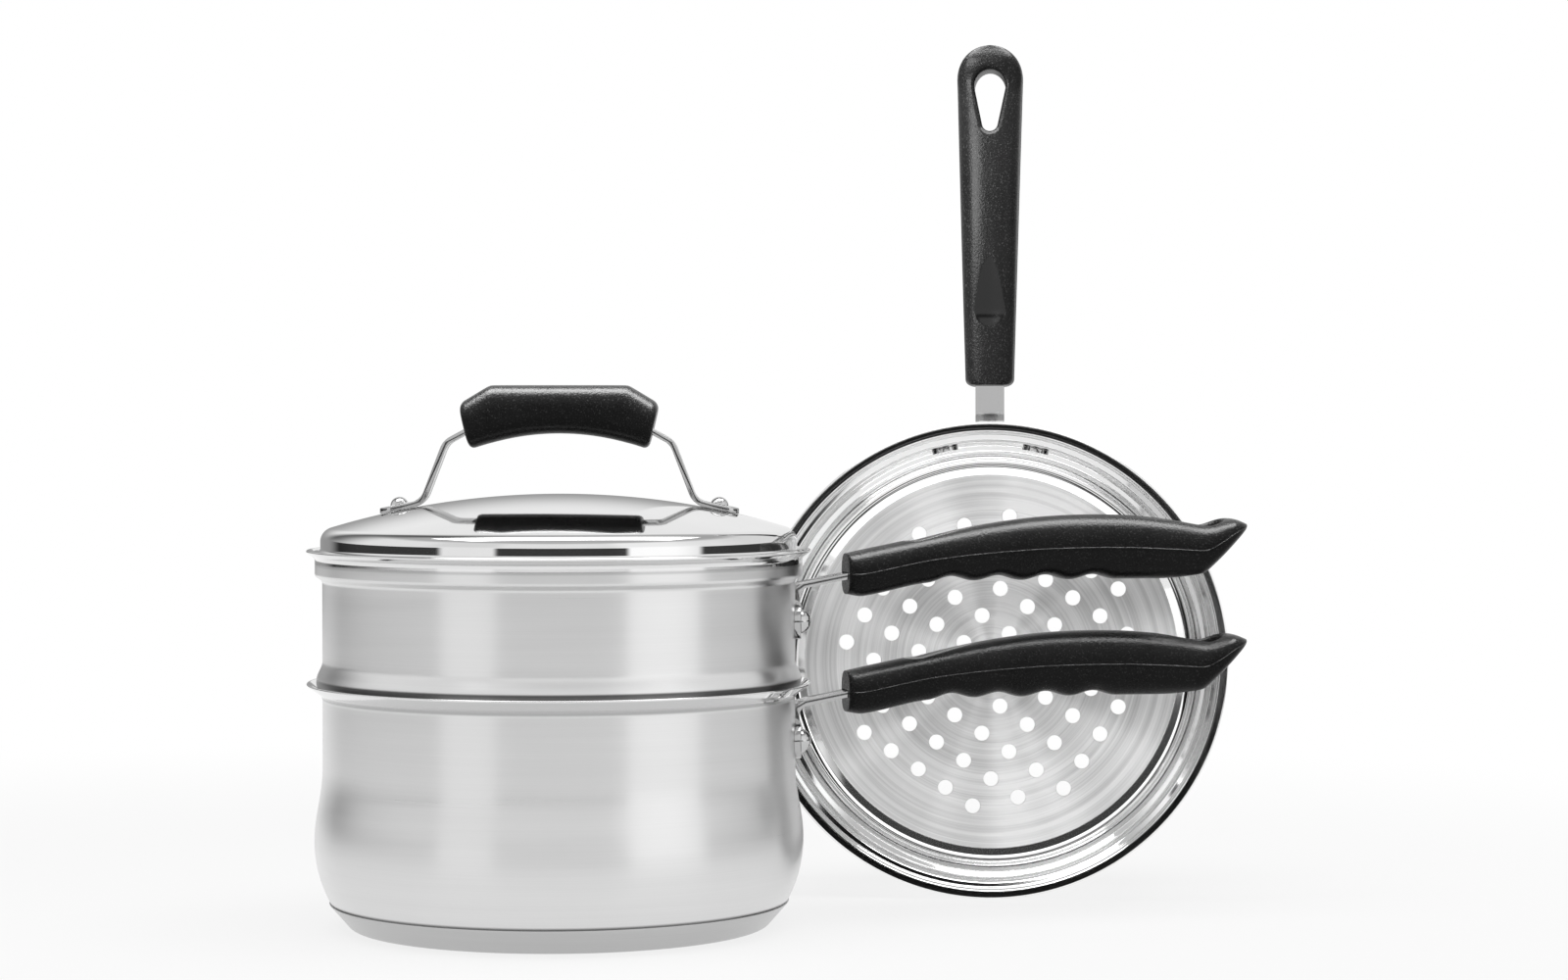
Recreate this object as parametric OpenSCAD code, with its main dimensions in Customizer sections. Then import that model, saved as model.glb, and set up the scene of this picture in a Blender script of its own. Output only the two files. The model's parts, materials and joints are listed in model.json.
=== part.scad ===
// Double boiler: saucepan, nesting boiler insert, lid, and a steamer insert that stands on its side.
// Each pan has its own axis at r = 0, from which r and z are measured. The handles point along +X.

/* [Pan shells] */
// Outer diameter of the straight wall, shared by the saucepan and the upper wall of the inserts
pan_d = 200; // [180:1:220]
// Thickness of the steel sheet of the pans
wall = 1; // [0.8:0.1:1.2]
// How far a pan's lip reaches out beyond the straight wall
lip_out = 6.7; // [5.5:0.1:8]
// Slope of the lip above the horizontal, in degrees
lip_slope = 35; // [30:1:40]
// Bend radius at the foot of the lip
lip_bend = 4; // [3:0.5:5]

/* [Saucepan] */
// Height of the saucepan's lip above the table
pot_h = 103.3; // [95:0.1:115]
// How far the belly swells beyond the straight wall
belly_out = 3.5; // [1:0.5:6]
// Height of the widest place of the belly
belly_z = 36.7; // [33:0.1:40]
// Height at which the belly has run back into the straight wall
belly_top_z = 68; // [60:1:74]
// Radius of the belly's lower curve
belly_r = 54; // [50:1:60]
// Height of the underside of the pan's floor, on top of the heat spreading disc
floor_z = 7.8; // [7:0.1:8.5]
// Bend radius between the floor and the belly
floor_bend = 3.5; // [3:0.5:4]

/* [Capped base] */
// Thickness of the steel cap under the disc
cap_t = 0.7; // [0.5:0.1:0.9]
// Height of the cap's edge on the belly
cap_h = 10.2; // [9.6:0.1:11]
// Radius of the flat that stands on the table
foot_r = 86.5; // [82:0.5:88]
// Bend radius at the foot of the cap
cap_bend = 4; // [3:0.5:5]

/* [Inserts] */
// Height of an insert, from the underside of its floor to its lip
insert_h = 79; // [76:0.5:90]
// Height of the insert's lip above the saucepan's lip when it is seated
insert_rise = 56.1; // [54:0.1:60]
// Radial play between the insert's lower wall and the saucepan
nest_gap = 2; // [1.5:0.1:3]
// How far the seating shoulder swells beyond the straight wall
shoulder_out = 2.6; // [2:0.1:3.5]
// How far the lid recess swells beyond the straight wall
recess_out = 3.1; // [2.5:0.1:3.6]
// Height of the lid recess, from its ledge to the foot of the lip
recess_h = 7.5; // [7:0.5:12]
// Bend radius between the floor and the lower wall
insert_bend = 6; // [4:0.5:8]

/* [Steamer holes] */
// Diameter of a steam hole
hole_d = 7; // [5:0.5:9]
// Distance between the holes of the square grid
hole_pitch = 15.3; // [12:0.1:16]
// Turn of the grid from the handle, in degrees
hole_turn = 56.3; // [0:0.1:90]

/* [Lid] */
// Thickness of the lid's sheet
lid_t = 0.8; // [0.6:0.1:1]
// Radius of the lid's skirt
skirt_r = 100.8; // [100:0.1:101.2]
// Height of the skirt between its flange and the shoulder
skirt_h = 4; // [3:0.5:6]
// Radius of the lid's shallow dome
dome_r = 337; // [300:1:380]
// Bend radius of the shoulder between dome and skirt
shoulder_r = 6; // [4:0.5:8]
// How far the flange reaches out beyond the skirt
flange_out = 2.9; // [2.5:0.1:3]
// Turn of the lid's handle from the long handles, in degrees
lid_turn = -11; // [-45:1:45]

/* [Lid handle] */
// Width of the steel strap
bail_w = 12; // [10:0.5:14]
// Thickness of the strap
bail_t = 2.4; // [2:0.1:2.8]
// Distance of a foot's rivet from the axis
bail_rivet_r = 67.5; // [66:0.5:70]
// Height of the level run inside the grip above the lid's crown
bail_run_h = 30; // [28:0.5:33]
// Half length of the lid grip at its widest
knob_half = 42.4; // [40:0.1:46]
// Width of the lid grip
knob_w = 23; // [20:0.5:26]
// Height of the lid grip's flat top above the lid's crown
knob_top_h = 46.1; // [45:0.1:50]
// Height of the middle of the arch under the lid grip above the crown
knob_arch_h = 25.6; // [24:0.1:26]

/* [Long handles] */
// Thickness of the bracket's steel strap
strap_t = 2.5; // [2:0.1:3]
// Width of the bracket's strap
strap_w = 13; // [11:0.5:15]
// Distance between the two rivets
rivet_pitch = 42; // [36:1:46]
// Height of the bracket's plate
plate_h = 15; // [14:0.5:17]
// Height of the saucepan's rivets below its lip
pot_rivet_drop = 25.2; // [24:0.1:30]
// Height of the insert's rivets below its lip
insert_rivet_drop = 30.6; // [28:0.1:34]
// Slope of the strap where it enters the grip, in degrees
strap_slope = 11; // [8:0.5:13]
// Height of the grip's front end above the rivets
grip_rise = 18.2; // [17:0.1:22]
// Distance of the grip's front end from the pan's axis
grip_front = 124; // [121:0.5:140]
// Length of the grips of the saucepan and the boiler insert
grip_len = 180; // [160:1:190]
// Length of the steamer's grip
steamer_grip_len = 152; // [150:1:180]
// Width of a grip at its front end
grip_w0 = 21.4; // [20:0.1:24]
// Width of a grip before its round tail
grip_w1 = 30; // [27:0.1:32]

/* [Rivets and screws] */
// Diameter of a rivet's shank on the pans
rivet_d = 5; // [4:0.1:6]
// Diameter of its outer head
rivet_head_d = 10.4; // [9:0.1:12]
// Height of its outer head
rivet_head_h = 4.2; // [3:0.1:5]
// Diameter of its flat head inside the pan
rivet_tail_d = 12; // [10:0.1:13]
// Height of its flat head inside the pan
rivet_tail_h = 1.6; // [1.2:0.1:2]
// Diameter of the shank of a rivet on the lid
lid_rivet_d = 4; // [3:0.1:5]
// Diameter of its head on the strap
lid_rivet_head_d = 7.6; // [6:0.1:9]
// Height of its head on the strap
lid_rivet_head_h = 3; // [2:0.1:4]
// Diameter of the screw that holds a grip on its strap
screw_d = 4; // [3:0.1:5]
// Diameter of the screw's head
screw_head_d = 7.6; // [7:0.1:9]
// Height of the screw's head
screw_head_h = 2.4; // [2:0.1:3]
// Distance of the screw from the grip's front end
screw_inset = 24; // [20:1:30]
// Length of the strap inside the grip
tang_len = 36; // [34:1:45]

/* [Grip details] */
// Depth of the finger hollows under a grip
finger_depth = 2.2; // [1:0.1:3]
// Number of finger hollows
fingers = 4; // [3:1:5]
// Width of the hang hole at its wide end
hang_w = 14; // [10:0.5:15]
// Length of the hang hole
hang_len = 28; // [24:1:34]
// Distance of the hang hole from the grip's tail
hang_inset = 11; // [9:0.5:14]
// Width of the thumb recess on top of a grip
thumb_w = 14; // [10:0.5:16]
// Length of the thumb recess
thumb_len = 31; // [26:1:36]
// Distance of the thumb recess from the grip's front end
thumb_inset = 26; // [22:1:34]
// Depth of the thumb recess
thumb_depth = 1.5; // [1:0.1:2]

/* [Standing steamer] */
// Where the steamer's lip centre stands, along X
steamer_x = 199.6; // [190:0.1:240]
// Where the steamer's lip centre stands, along Y
steamer_y = 46.8; // [44:0.1:120]
// Turn of the steamer's opening from -Y towards -X, in degrees
steamer_turn = 15; // [10:1:20]

/* [Hidden] */

steel = [0.80, 0.81, 0.82];
satin = [0.70, 0.71, 0.72];
aluminium = [0.75, 0.76, 0.78];
phenolic = [0.09, 0.09, 0.09];

fit = 0.05;          // play between riveted, welded and screwed pieces
seat = 0.3;          // play between pieces that lift off and their seats
past = 1;            // how far a cutter runs past the surface it opens
through = 60;        // how far a cutter reaches on each side of a grip
steps = 6;           // segments of a bend
sweep = 96;          // segments of a full turn
head_n = 48;         // segments round a rivet's or screw's head, and round a plate's ends
bore_n = 32;         // segments round a shank or its bore
hole_n = 24;         // segments round a steam hole
dome_head_n = 8;     // segments of a round head's profile
belly_n = 10;        // segments of the belly's lower curve
belly_top_n = 14;    // segments of the run from the belly back into the wall
shoulder_n = 8;      // segments of the run from the shoulder back into the wall
recess_bend = 2;     // bend radius of the lid recess
shoulder_bend = 4;   // bend radius of the seating shoulder
swell_h = 8.4;       // height over which the shoulder runs back into the wall
swell_start = 1;     // height of the shoulder's widest place above the saucepan's lip
grid_half = 4;       // holes on each side of the middle one in a row
grid_cut = 6;        // corners of the square grid beyond this many steps stay closed
strap_bend = 5;      // bend radius of a handle strap
bail_bend = 8;       // bend radius of the lid's strap
screw_land = 2;      // thickness of the grip between screw head and strap
screw_bite = 6;      // how far the screw reaches into the grip above the strap
slot_w = 1.2;        // width of the slot in a screw's head

pan_r = pan_d / 2;
bore_r = pan_r - wall;
nest_r = bore_r - nest_gap;
recess_r = pan_r + recess_out;

// Heights of the nested pans above the table
insert_lip_z = pot_h + insert_rise;
insert_z = insert_lip_z - insert_h;

// Middle of a lip's round edge, from the lip's height, and its two skins
function lip_mid(h) = [pan_r + lip_out - wall / 2, h - wall / 2];
function lip_under(h) = lip_mid(h) + wall / 2 * [sin(lip_slope), -cos(lip_slope)];
function lip_top(h) = lip_mid(h) - wall / 2 * [sin(lip_slope), -cos(lip_slope)];

// Plane paths, as lists of [r, z]
function unit(v) = v / norm(v);
function left(v) = [-v[1], v[0]];
function reversed(p) = [for (i = [len(p) - 1 : -1 : 0]) p[i]];
function arc(c, r, a0, a1, n = steps) =
    [for (i = [0 : n]) let (a = a0 + (a1 - a0) * i / n) c + r * [cos(a), sin(a)]];

function mitre(p, i) =
    let (a = left(unit(p[max(i, 1)] - p[max(i, 1) - 1])),
         b = left(unit(p[min(i + 1, len(p) - 1)] - p[min(i, len(p) - 2)])),
         m = unit(a + b))
    m / (m * a);

function shifted(p, d) = [for (i = [0 : len(p) - 1]) p[i] + d * mitre(p, i)];

function corner(a, b, c, r) =
    let (u = unit(a - b), v = unit(c - b), half = acos(u * v) / 2,
         mid = b + unit(u + v) * r / sin(half),
         p = b + u * r / tan(half) - mid, q = b + v * r / tan(half) - mid,
         a0 = atan2(p[1], p[0]), a1 = atan2(q[1], q[0]),
         turn = (a1 - a0 + 540) % 360 - 180)
    arc(mid, r, a0, a0 + turn);

function bent(p, r) =
    concat([p[0]],
           [for (i = [1 : len(p) - 2]) each corner(p[i - 1], p[i], p[i + 1], r[i - 1])],
           [p[len(p) - 1]]);

function rest(p) = [for (i = [1 : len(p) - 1]) p[i]];

// A swell that eases from one radius to another
function eased(r0, r1, z0, z1, n) =
    [for (i = [1 : n]) [r1 + (r0 - r1) * (1 + cos(180 * i / n)) / 2, z0 + (z1 - z0) * i / n]];

// A sheet of the pans' thickness to the left of its outer path, with a round edge at the lip
module pan_sheet(path, h) {
    rotate_extrude($fn = sweep)
        polygon(concat(path,
                       arc(lip_mid(h), wall / 2, lip_slope - 90, lip_slope + 90),
                       reversed(shifted(path, wall))));
}

// Outer path of the saucepan
belly_c = [pan_r + belly_out - belly_r, belly_z];
floor_c = [belly_c[0] + sqrt(pow(belly_r - floor_bend, 2) - pow(belly_z - floor_z - floor_bend, 2)),
           floor_z + floor_bend];
belly_a = -asin((belly_z - floor_c[1]) / (belly_r - floor_bend));

function lip_run(r, h, bend) =
    let (tip = lip_under(h), foot = [r, tip[1] - (tip[0] - r) * tan(lip_slope)])
    concat(corner([r, 0], foot, tip, bend), [tip]);

pot_path = concat([[0, floor_z]],
                  arc(floor_c, floor_bend, -90, belly_a),
                  rest(arc(belly_c, belly_r, belly_a, 0, belly_n)),
                  eased(pan_r + belly_out, pan_r, belly_z, belly_top_z, belly_top_n),
                  lip_run(pan_r, pot_h, lip_bend));

// Outer path of an insert, from the underside of its floor
seat_z = insert_h - insert_rise;
seat_at = lip_top(seat_z) + seat * [-sin(lip_slope), cos(lip_slope)];
function seat_height(r) = seat_at[1] - (seat_at[0] - r) * tan(lip_slope);
shoulder_r2 = pan_r + shoulder_out;
shoulder_z = seat_z + swell_start;
recess_top = lip_under(insert_h)[1] - (lip_under(insert_h)[0] - recess_r) * tan(lip_slope);
ledge = [recess_r, recess_top - recess_h];
under_ledge = [pan_r, ledge[1] - recess_out * tan(lip_slope)];

insert_path = concat(
    bent([[0, 0], [nest_r, 0], [nest_r, seat_height(nest_r)], [shoulder_r2, seat_height(shoulder_r2)],
          [shoulder_r2, shoulder_z]], [insert_bend, lip_bend, shoulder_bend]),
    eased(shoulder_r2, pan_r, shoulder_z, shoulder_z + swell_h, shoulder_n),
    corner([pan_r, 0], under_ledge, ledge, recess_bend),
    corner(under_ledge, ledge, [recess_r, recess_top], recess_bend),
    lip_run(recess_r, insert_h, recess_bend));

// Places of the rivets: each one's angle round the pan, and the depth of its flat head
rivet_a = asin(rivet_pitch / 2 / pan_r);
rivet_in = sqrt(pow(bore_r, 2) - pow(rivet_tail_d / 2, 2)) - fit;
plate_r = pan_r + fit + strap_t;

module at_rivets(z) {
    for (side = [-1, 1])
        translate([0, 0, z]) rotate([0, 0, side * rivet_a]) rotate([0, 90, 0]) children();
}

module rivet_bores(z) {
    at_rivets(z) translate([0, 0, bore_r - 2 * past])
        cylinder(d = rivet_d + 2 * fit, h = strap_t + wall + 4 * past, $fn = bore_n);
}

module round_head(d, h) {
    r = (h * h + d * d / 4) / (2 * h);
    rotate_extrude($fn = head_n)
        polygon(concat([[0, 0]], arc([0, h - r], r, asin((r - h) / r), 90, dome_head_n)));
}

module pan_rivets(z) {
    at_rivets(z) {
        translate([0, 0, plate_r + fit]) round_head(rivet_head_d, rivet_head_h);
        translate([0, 0, rivet_in]) cylinder(d = rivet_d, h = plate_r + 2 * fit - rivet_in, $fn = bore_n);
        translate([0, 0, rivet_in - rivet_tail_h])
            cylinder(d = rivet_tail_d, h = rivet_tail_h, $fn = head_n);
    }
}

// Handle strap, in the plane of the handle: up along the wall, then out into the grip
strap_x = pan_r + fit + strap_t / 2;
function strap_z(x) = grip_rise + (x - grip_front) * tan(strap_slope);
function strap_path(reach) =
    bent([[strap_x, -plate_h / 2], [strap_x, strap_z(strap_x)],
          [grip_front + reach, strap_z(grip_front + reach)]], [strap_bend]);

module ribbon(path, t, w) {
    rotate([90, 0, 0])
        linear_extrude(w, center = true)
            polygon(concat(shifted(path, t / 2), reversed(shifted(path, -t / 2))));
}

screw_x = grip_front + screw_inset;
screw_seat = strap_z(screw_x) - strap_t / 2 - screw_land;

module screw_hole(play, length) {
    translate([screw_x, 0, screw_seat]) cylinder(d = screw_d + 2 * play, h = length, $fn = bore_n);
}

screw_len = screw_land + strap_t + screw_bite;

module bracket(z) {
    difference() {
        translate([0, 0, z]) union() {
            intersection() {
                difference() {
                    translate([0, 0, -plate_h]) cylinder(r = plate_r, h = 2 * plate_h, $fn = sweep);
                    translate([0, 0, -2 * plate_h]) cylinder(r = pan_r + fit, h = 4 * plate_h, $fn = sweep);
                }
                rotate([90, 0, 90]) linear_extrude(2 * pan_r) {
                    square([rivet_pitch, plate_h], center = true);
                    for (side = [-1, 1])
                        translate([side * rivet_pitch / 2, 0]) circle(d = plate_h, $fn = head_n);
                }
            }
            ribbon(strap_path(tang_len), strap_t, strap_w);
        }
        rivet_bores(z);
        translate([0, 0, z]) screw_hole(2 * fit, screw_len);
    }
}

module grip_screw(z) {
    translate([0, 0, z]) difference() {
        union() {
            screw_hole(0, screw_len);
            translate([screw_x, 0, screw_seat - screw_head_h])
                cylinder(d = screw_head_d, h = screw_head_h, $fn = head_n);
        }
        translate([screw_x, 0, screw_seat - screw_head_h])
            cube([screw_head_d + past, slot_w, screw_head_h], center = true);
    }
}

// Outlines of a long grip: share of its length, and height above the strap at its front end
grip_top = [[0, 7.7], [0.05, 11.5], [0.18, 14.4], [0.35, 21.6], [0.5, 25.1], [0.67, 25.7], [0.8, 23.8],
            [0.89, 21.6], [0.955, 23.8], [1, 21.3]];
grip_under = [[0, -6.7], [0.04, -8.8], [0.2, -3.3], [0.42, -2.5], [0.67, -2.3], [0.865, -1.8], [0.89, 0.4],
              [0.985, 17.5], [1, 20.4]];
finger_from = 0.196;   // the finger hollows begin and end at these shares of the length
finger_to = 0.667;
grip_edge = 3;         // edge radius at the front end
grip_square = 2.8;     // squareness of a grip's section, 2 for an ellipse
ring_n = 20;           // points round a section
mid_n = 46;            // sections between the two ends
tail_n = 6;            // sections round the tail
tail_a = 84;           // the tail's round ends this far round

// Smooth curve through points, by cubic pieces that share their slopes
function piece(x, p, i = 0) = i >= len(p) - 2 || x < p[i + 1][0] ? i : piece(x, p, i + 1);
function slope(p, i) =
    let (a = p[max(i - 1, 0)], b = p[min(i + 1, len(p) - 1)]) (b[1] - a[1]) / (b[0] - a[0]);
function curve(x, p) =
    let (i = piece(x, p), h = p[i + 1][0] - p[i][0], t = (x - p[i][0]) / h)
    p[i][1] * (1 + 2 * t) * pow(1 - t, 2) + h * slope(p, i) * t * pow(1 - t, 2)
    + p[i + 1][1] * t * t * (3 - 2 * t) + h * slope(p, i + 1) * t * t * (t - 1);

function hollow(u) =
    u < finger_from || u > finger_to ? 0
    : finger_depth * (1 - cos(360 * fingers * (u - finger_from) / (finger_to - finger_from))) / 2;

function signed_pow(v, e) = sign(v) * pow(abs(v), e);

// One section of a soft-cornered bar, from its half width and its upper and lower heights
function ring(x, w, top, under, square_n, lean = 0) =
    let (mid = (top + under) / 2, half = (top - under) / 2)
    [for (k = [0 : ring_n - 1])
        let (a = 360 * k / ring_n, dz = half * signed_pow(sin(a), 2 / square_n))
        [x + lean * dz, w * signed_pow(cos(a), 2 / square_n), mid + dz]];

// A solid through sections, its two ends flat
module loft(rings) {
    n = len(rings);
    m = len(rings[0]);
    polyhedron(
        points = [for (r = rings) each r],
        faces = concat(
            [[for (k = [0 : m - 1]) k]],
            [for (i = [0 : n - 2], k = [0 : m - 1])
                let (a = i * m, b = a + m, next = (k + 1) % m)
                each [[a + k, b + k, b + next], [a + k, b + next, a + next]]],
            [[for (k = [m - 1 : -1 : 0]) (n - 1) * m + k]]));
}

function grip_half(s, length) =
    let (w = (grip_w0 + (grip_w1 - grip_w0) * s / length) / 2, tail = grip_w1 / 2,
         over = max(0, s - (length - tail)) / tail, front = max(0, grip_edge - s))
    w * sqrt(max(0, 1 - over * over)) - grip_edge + sqrt(grip_edge * grip_edge - front * front);

function grip_stations(length) =
    let (tail = grip_w1 / 2)
    concat([for (i = [0 : 3]) grip_edge * (1 - cos(30 * i))],
           [for (i = [1 : mid_n]) grip_edge + (length - grip_edge - tail) * i / mid_n],
           [for (i = [1 : tail_n]) length - tail + tail * sin(tail_a * i / tail_n)]);

module teardrop(big, small, apart) {
    hull() {
        circle(d = big, $fn = bore_n);
        translate([apart, 0]) circle(d = small, $fn = bore_n);
    }
}

module grip(z, length) {
    thumb_r = (pow(thumb_w / 2, 2) + pow(thumb_depth, 2)) / (2 * thumb_depth);
    thumb_x = thumb_inset + thumb_w / 2;
    thumb_end = thumb_inset + thumb_len;
    hang_x = grip_front + length - hang_inset - hang_w / 2;
    hang_tip = hang_w / 2;
    translate([0, 0, z]) difference() {
        translate([grip_front, 0, grip_rise])
            loft([for (s = grip_stations(length))
                    ring(s, grip_half(s, length), curve(s / length, grip_top),
                         curve(s / length, grip_under) + hollow(s / length), grip_square)]);
        ribbon(strap_path(tang_len + 2 * fit), strap_t + 2 * fit, strap_w + 2 * fit);
        screw_hole(fit, screw_len + fit);
        translate([screw_x, 0, screw_seat - through])
            cylinder(d = screw_head_d + 4 * fit, h = through + fit, $fn = head_n);
        translate([hang_x, 0, grip_rise - through])
            linear_extrude(2 * through)
                rotate(180) teardrop(hang_w, hang_tip, hang_len - (hang_w + hang_tip) / 2);
        translate([grip_front, 0, grip_rise]) hull() {
            translate([thumb_x, 0, curve(thumb_x / length, grip_top) + thumb_r - thumb_depth])
                sphere(r = thumb_r, $fn = bore_n);
            translate([thumb_end, 0, curve(thumb_end / length, grip_top) + thumb_r])
                sphere(r = thumb_r, $fn = bore_n);
        }
    }
}

// The lid stands on the insert's lip
flange_r = skirt_r + flange_out;
lid_z = insert_z + lip_top(insert_h)[1] - (lip_top(insert_h)[0] - flange_r) * tan(lip_slope)
        + seat / cos(lip_slope);
skirt_top = lid_z + lid_t + skirt_h;
shoulder_a = acos((skirt_r - shoulder_r) / (dome_r - shoulder_r));
dome_c = [0, skirt_top - (dome_r - shoulder_r) * sin(shoulder_a)];
crown_z = dome_c[1] + dome_r;
flange_bend = 1.4;     // bend radius between skirt and flange
dome_n = 20;           // segments of the dome

lid_path = concat(
    arc(dome_c, dome_r, 90, shoulder_a, dome_n),
    [for (i = [1 : steps]) [skirt_r - shoulder_r, skirt_top]
        + shoulder_r * [cos(shoulder_a * (1 - i / steps)), sin(shoulder_a * (1 - i / steps))]],
    corner([skirt_r, skirt_top], [skirt_r, lid_z + lid_t], [flange_r, lid_z + lid_t], flange_bend),
    [[flange_r, lid_z + lid_t]]);

function from_axis(p) = [for (v = p) [max(0, v[0]), v[1]]];
function dome_z(r) = dome_c[1] + sqrt(dome_r * dome_r - r * r);

// The lid's rivets stand square to the dome
module at_lid_rivets() {
    lean = asin(bail_rivet_r / dome_r);
    rotate([0, 0, lid_turn]) for (side = [-1, 1])
        translate([side * bail_rivet_r, 0, dome_z(bail_rivet_r)]) rotate([0, side * lean, 0]) children();
}

bail_gap = 0.2;                 // gap between a foot and the dome
bail_rise = bail_gap + bail_t / 2;
bail_tip = 8.7;                 // how far a foot reaches past its rivet
bail_heel = 10;                 // how far the foot runs from its rivet to the leg
bail_leg = [9.5, 21.8];         // how far the leg leans in, and its height above the crown
bail_neck = 33;                 // half length of the level run

function on_dome(r) = [r, dome_z(r)] + bail_rise * [r / dome_r, dome_z(r) / dome_r - dome_c[1] / dome_r];
bail_side = [on_dome(bail_rivet_r + bail_tip), on_dome(bail_rivet_r - bail_heel),
             [bail_rivet_r - bail_heel - bail_leg[0], crown_z + bail_leg[1]],
             [bail_neck, crown_z + bail_run_h]];
bail_path = bent(concat(bail_side, [for (p = reversed(bail_side)) [-p[0], p[1]]]),
                 [for (i = [2 : 2 * len(bail_side) - 1]) bail_bend]);

// Half outline of the lid grip, from its middle: flat top, sloping end and arched underside
knob_flat = 29;        // half length of the flat top
knob_drop = 7.9;       // how far the end's corner lies under the top
knob_foot = 37.8;      // half length at the foot of the slanting end
knob_foot_h = 18.9;    // height of that foot above the crown
knob_edge = 2.5;       // edge radius at the ends
knob_square = 3.4;     // squareness of its section, as for the long grips
knob_n = 12;           // sections between the edges

function knob_top(x) = knob_top_h - knob_drop * max(0, abs(x) - knob_flat) / (knob_half - knob_flat);
function knob_arch(x) = knob_arch_h - (knob_arch_h - knob_foot_h) * pow(x / knob_half, 2);
knob_lean = (knob_half - knob_foot) / (knob_top_h - knob_drop - knob_foot_h);

function knob_ring(x, inset) =
    let (top = knob_top(x) - inset, under = knob_arch(x) + inset, mean = (knob_half + knob_foot) / 2)
    ring(x * mean / knob_half, knob_w / 2 - inset, top, under, knob_square, knob_lean * x / knob_half);

function knob_sections() =
    let (body = knob_half - knob_edge)
    concat([for (i = [0 : 3]) [-body - knob_edge * cos(30 * i), knob_edge * (1 - sin(30 * i))]],
           [for (i = [1 : knob_n - 1]) [-body + 2 * body * i / knob_n, 0]],
           [for (i = [3 : -1 : 0]) [body + knob_edge * cos(30 * i), knob_edge * (1 - sin(30 * i))]]);

// The steamer leans on its lip and its shoulder, with its handle up
lean_r = lip_mid(insert_h)[0] - (shoulder_r2 - shoulder_bend);
lean_z = lip_mid(insert_h)[1] - (seat_height(shoulder_r2) + shoulder_bend * tan((90 - lip_slope) / 2));
lean_a = atan2(lean_r, lean_z) - asin((shoulder_bend - wall / 2) / norm([lean_r, lean_z]));
stand_z = lip_mid(insert_h)[0] * cos(lean_a) + wall / 2 * sin(lean_a) + wall / 2;

module standing() {
    translate([steamer_x, steamer_y, stand_z])
        rotate([0, 0, 90 - steamer_turn]) rotate([0, lean_a - 90, 0]) translate([0, 0, -insert_h]) children();
}

module hole_grid() {
    rotate(hole_turn) for (i = [-grid_half : grid_half], j = [-grid_half : grid_half])
        if (abs(i) + abs(j) <= grid_cut)
            translate([i * hole_pitch, j * hole_pitch, -past])
                cylinder(d = hole_d, h = wall + 2 * past, $fn = hole_n);
}

pot_rivet_z = pot_h - pot_rivet_drop;
insert_rivet_z = insert_h - insert_rivet_drop;

module insert_pan() {
    difference() {
        pan_sheet(insert_path, insert_h);
        rivet_bores(insert_rivet_z);
    }
}

// Saucepan
module saucepan_pot() {
    color(satin) difference() {
        pan_sheet(pot_path, pot_h);
        rivet_bores(pot_rivet_z);
    }
}

// Outer path of the cap under the saucepan, and what the pan's belly leaves free inside it
cap_edge_r = belly_c[0] + sqrt(belly_r * belly_r - pow(belly_z - cap_h, 2)) + cap_t;
cap_side = atan2(cap_h, cap_edge_r - foot_r - cap_bend / 2);
cap_path = bent([[0, 0], [foot_r + cap_bend * tan(cap_side / 2), 0], [cap_edge_r, cap_h]], [cap_bend]);

module pan_space() {
    polygon(concat(shifted(pot_path, -fit), [[0, pot_h]]));
}

module saucepan_base_cap() {
    color(satin) rotate_extrude($fn = sweep) difference() {
        polygon(concat(cap_path, reversed(shifted(cap_path, cap_t))));
        pan_space();
    }
}

module saucepan_base_disc() {
    inside = shifted(cap_path, cap_t + fit);
    color(aluminium) rotate_extrude($fn = sweep) difference() {
        polygon(concat(inside, [[0, inside[len(inside) - 1][1]]]));
        pan_space();
    }
}

module saucepan_handle_bracket() { color(steel) bracket(pot_rivet_z); }
module saucepan_rivets() { color(steel) pan_rivets(pot_rivet_z); }
module saucepan_grip() { color(phenolic) grip(pot_rivet_z, grip_len); }
module saucepan_grip_screw() { color(steel) grip_screw(pot_rivet_z); }

// Boiler insert, seated in the saucepan
module boiler_insert_pan() { color(satin) translate([0, 0, insert_z]) insert_pan(); }
module boiler_insert_handle_bracket() { color(steel) bracket(insert_z + insert_rivet_z); }
module boiler_insert_rivets() { color(steel) pan_rivets(insert_z + insert_rivet_z); }
module boiler_insert_grip() { color(phenolic) grip(insert_z + insert_rivet_z, grip_len); }
module boiler_insert_grip_screw() { color(steel) grip_screw(insert_z + insert_rivet_z); }

// Lid
module lid_cover() {
    color(steel) difference() {
        rotate_extrude($fn = sweep)
            polygon(concat(lid_path, from_axis(reversed(shifted(lid_path, -lid_t)))));
        at_lid_rivets()
            cylinder(d = lid_rivet_d + 2 * fit, h = lid_t + 4 * past, center = true, $fn = bore_n);
    }
}

module lid_handle_strap() {
    color(steel) difference() {
        rotate([0, 0, lid_turn]) intersection() {
            ribbon(bail_path, bail_t, bail_w);
            linear_extrude(2 * crown_z) {
                square([2 * (bail_rivet_r + bail_tip) - bail_w, bail_w], center = true);
                for (side = [-1, 1])
                    translate([side * (bail_rivet_r + bail_tip - bail_w / 2), 0])
                        circle(d = bail_w, $fn = head_n);
            }
        }
        at_lid_rivets()
            cylinder(d = lid_rivet_d + 2 * fit, h = 2 * (bail_rise + bail_t), center = true, $fn = bore_n);
    }
}

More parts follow.
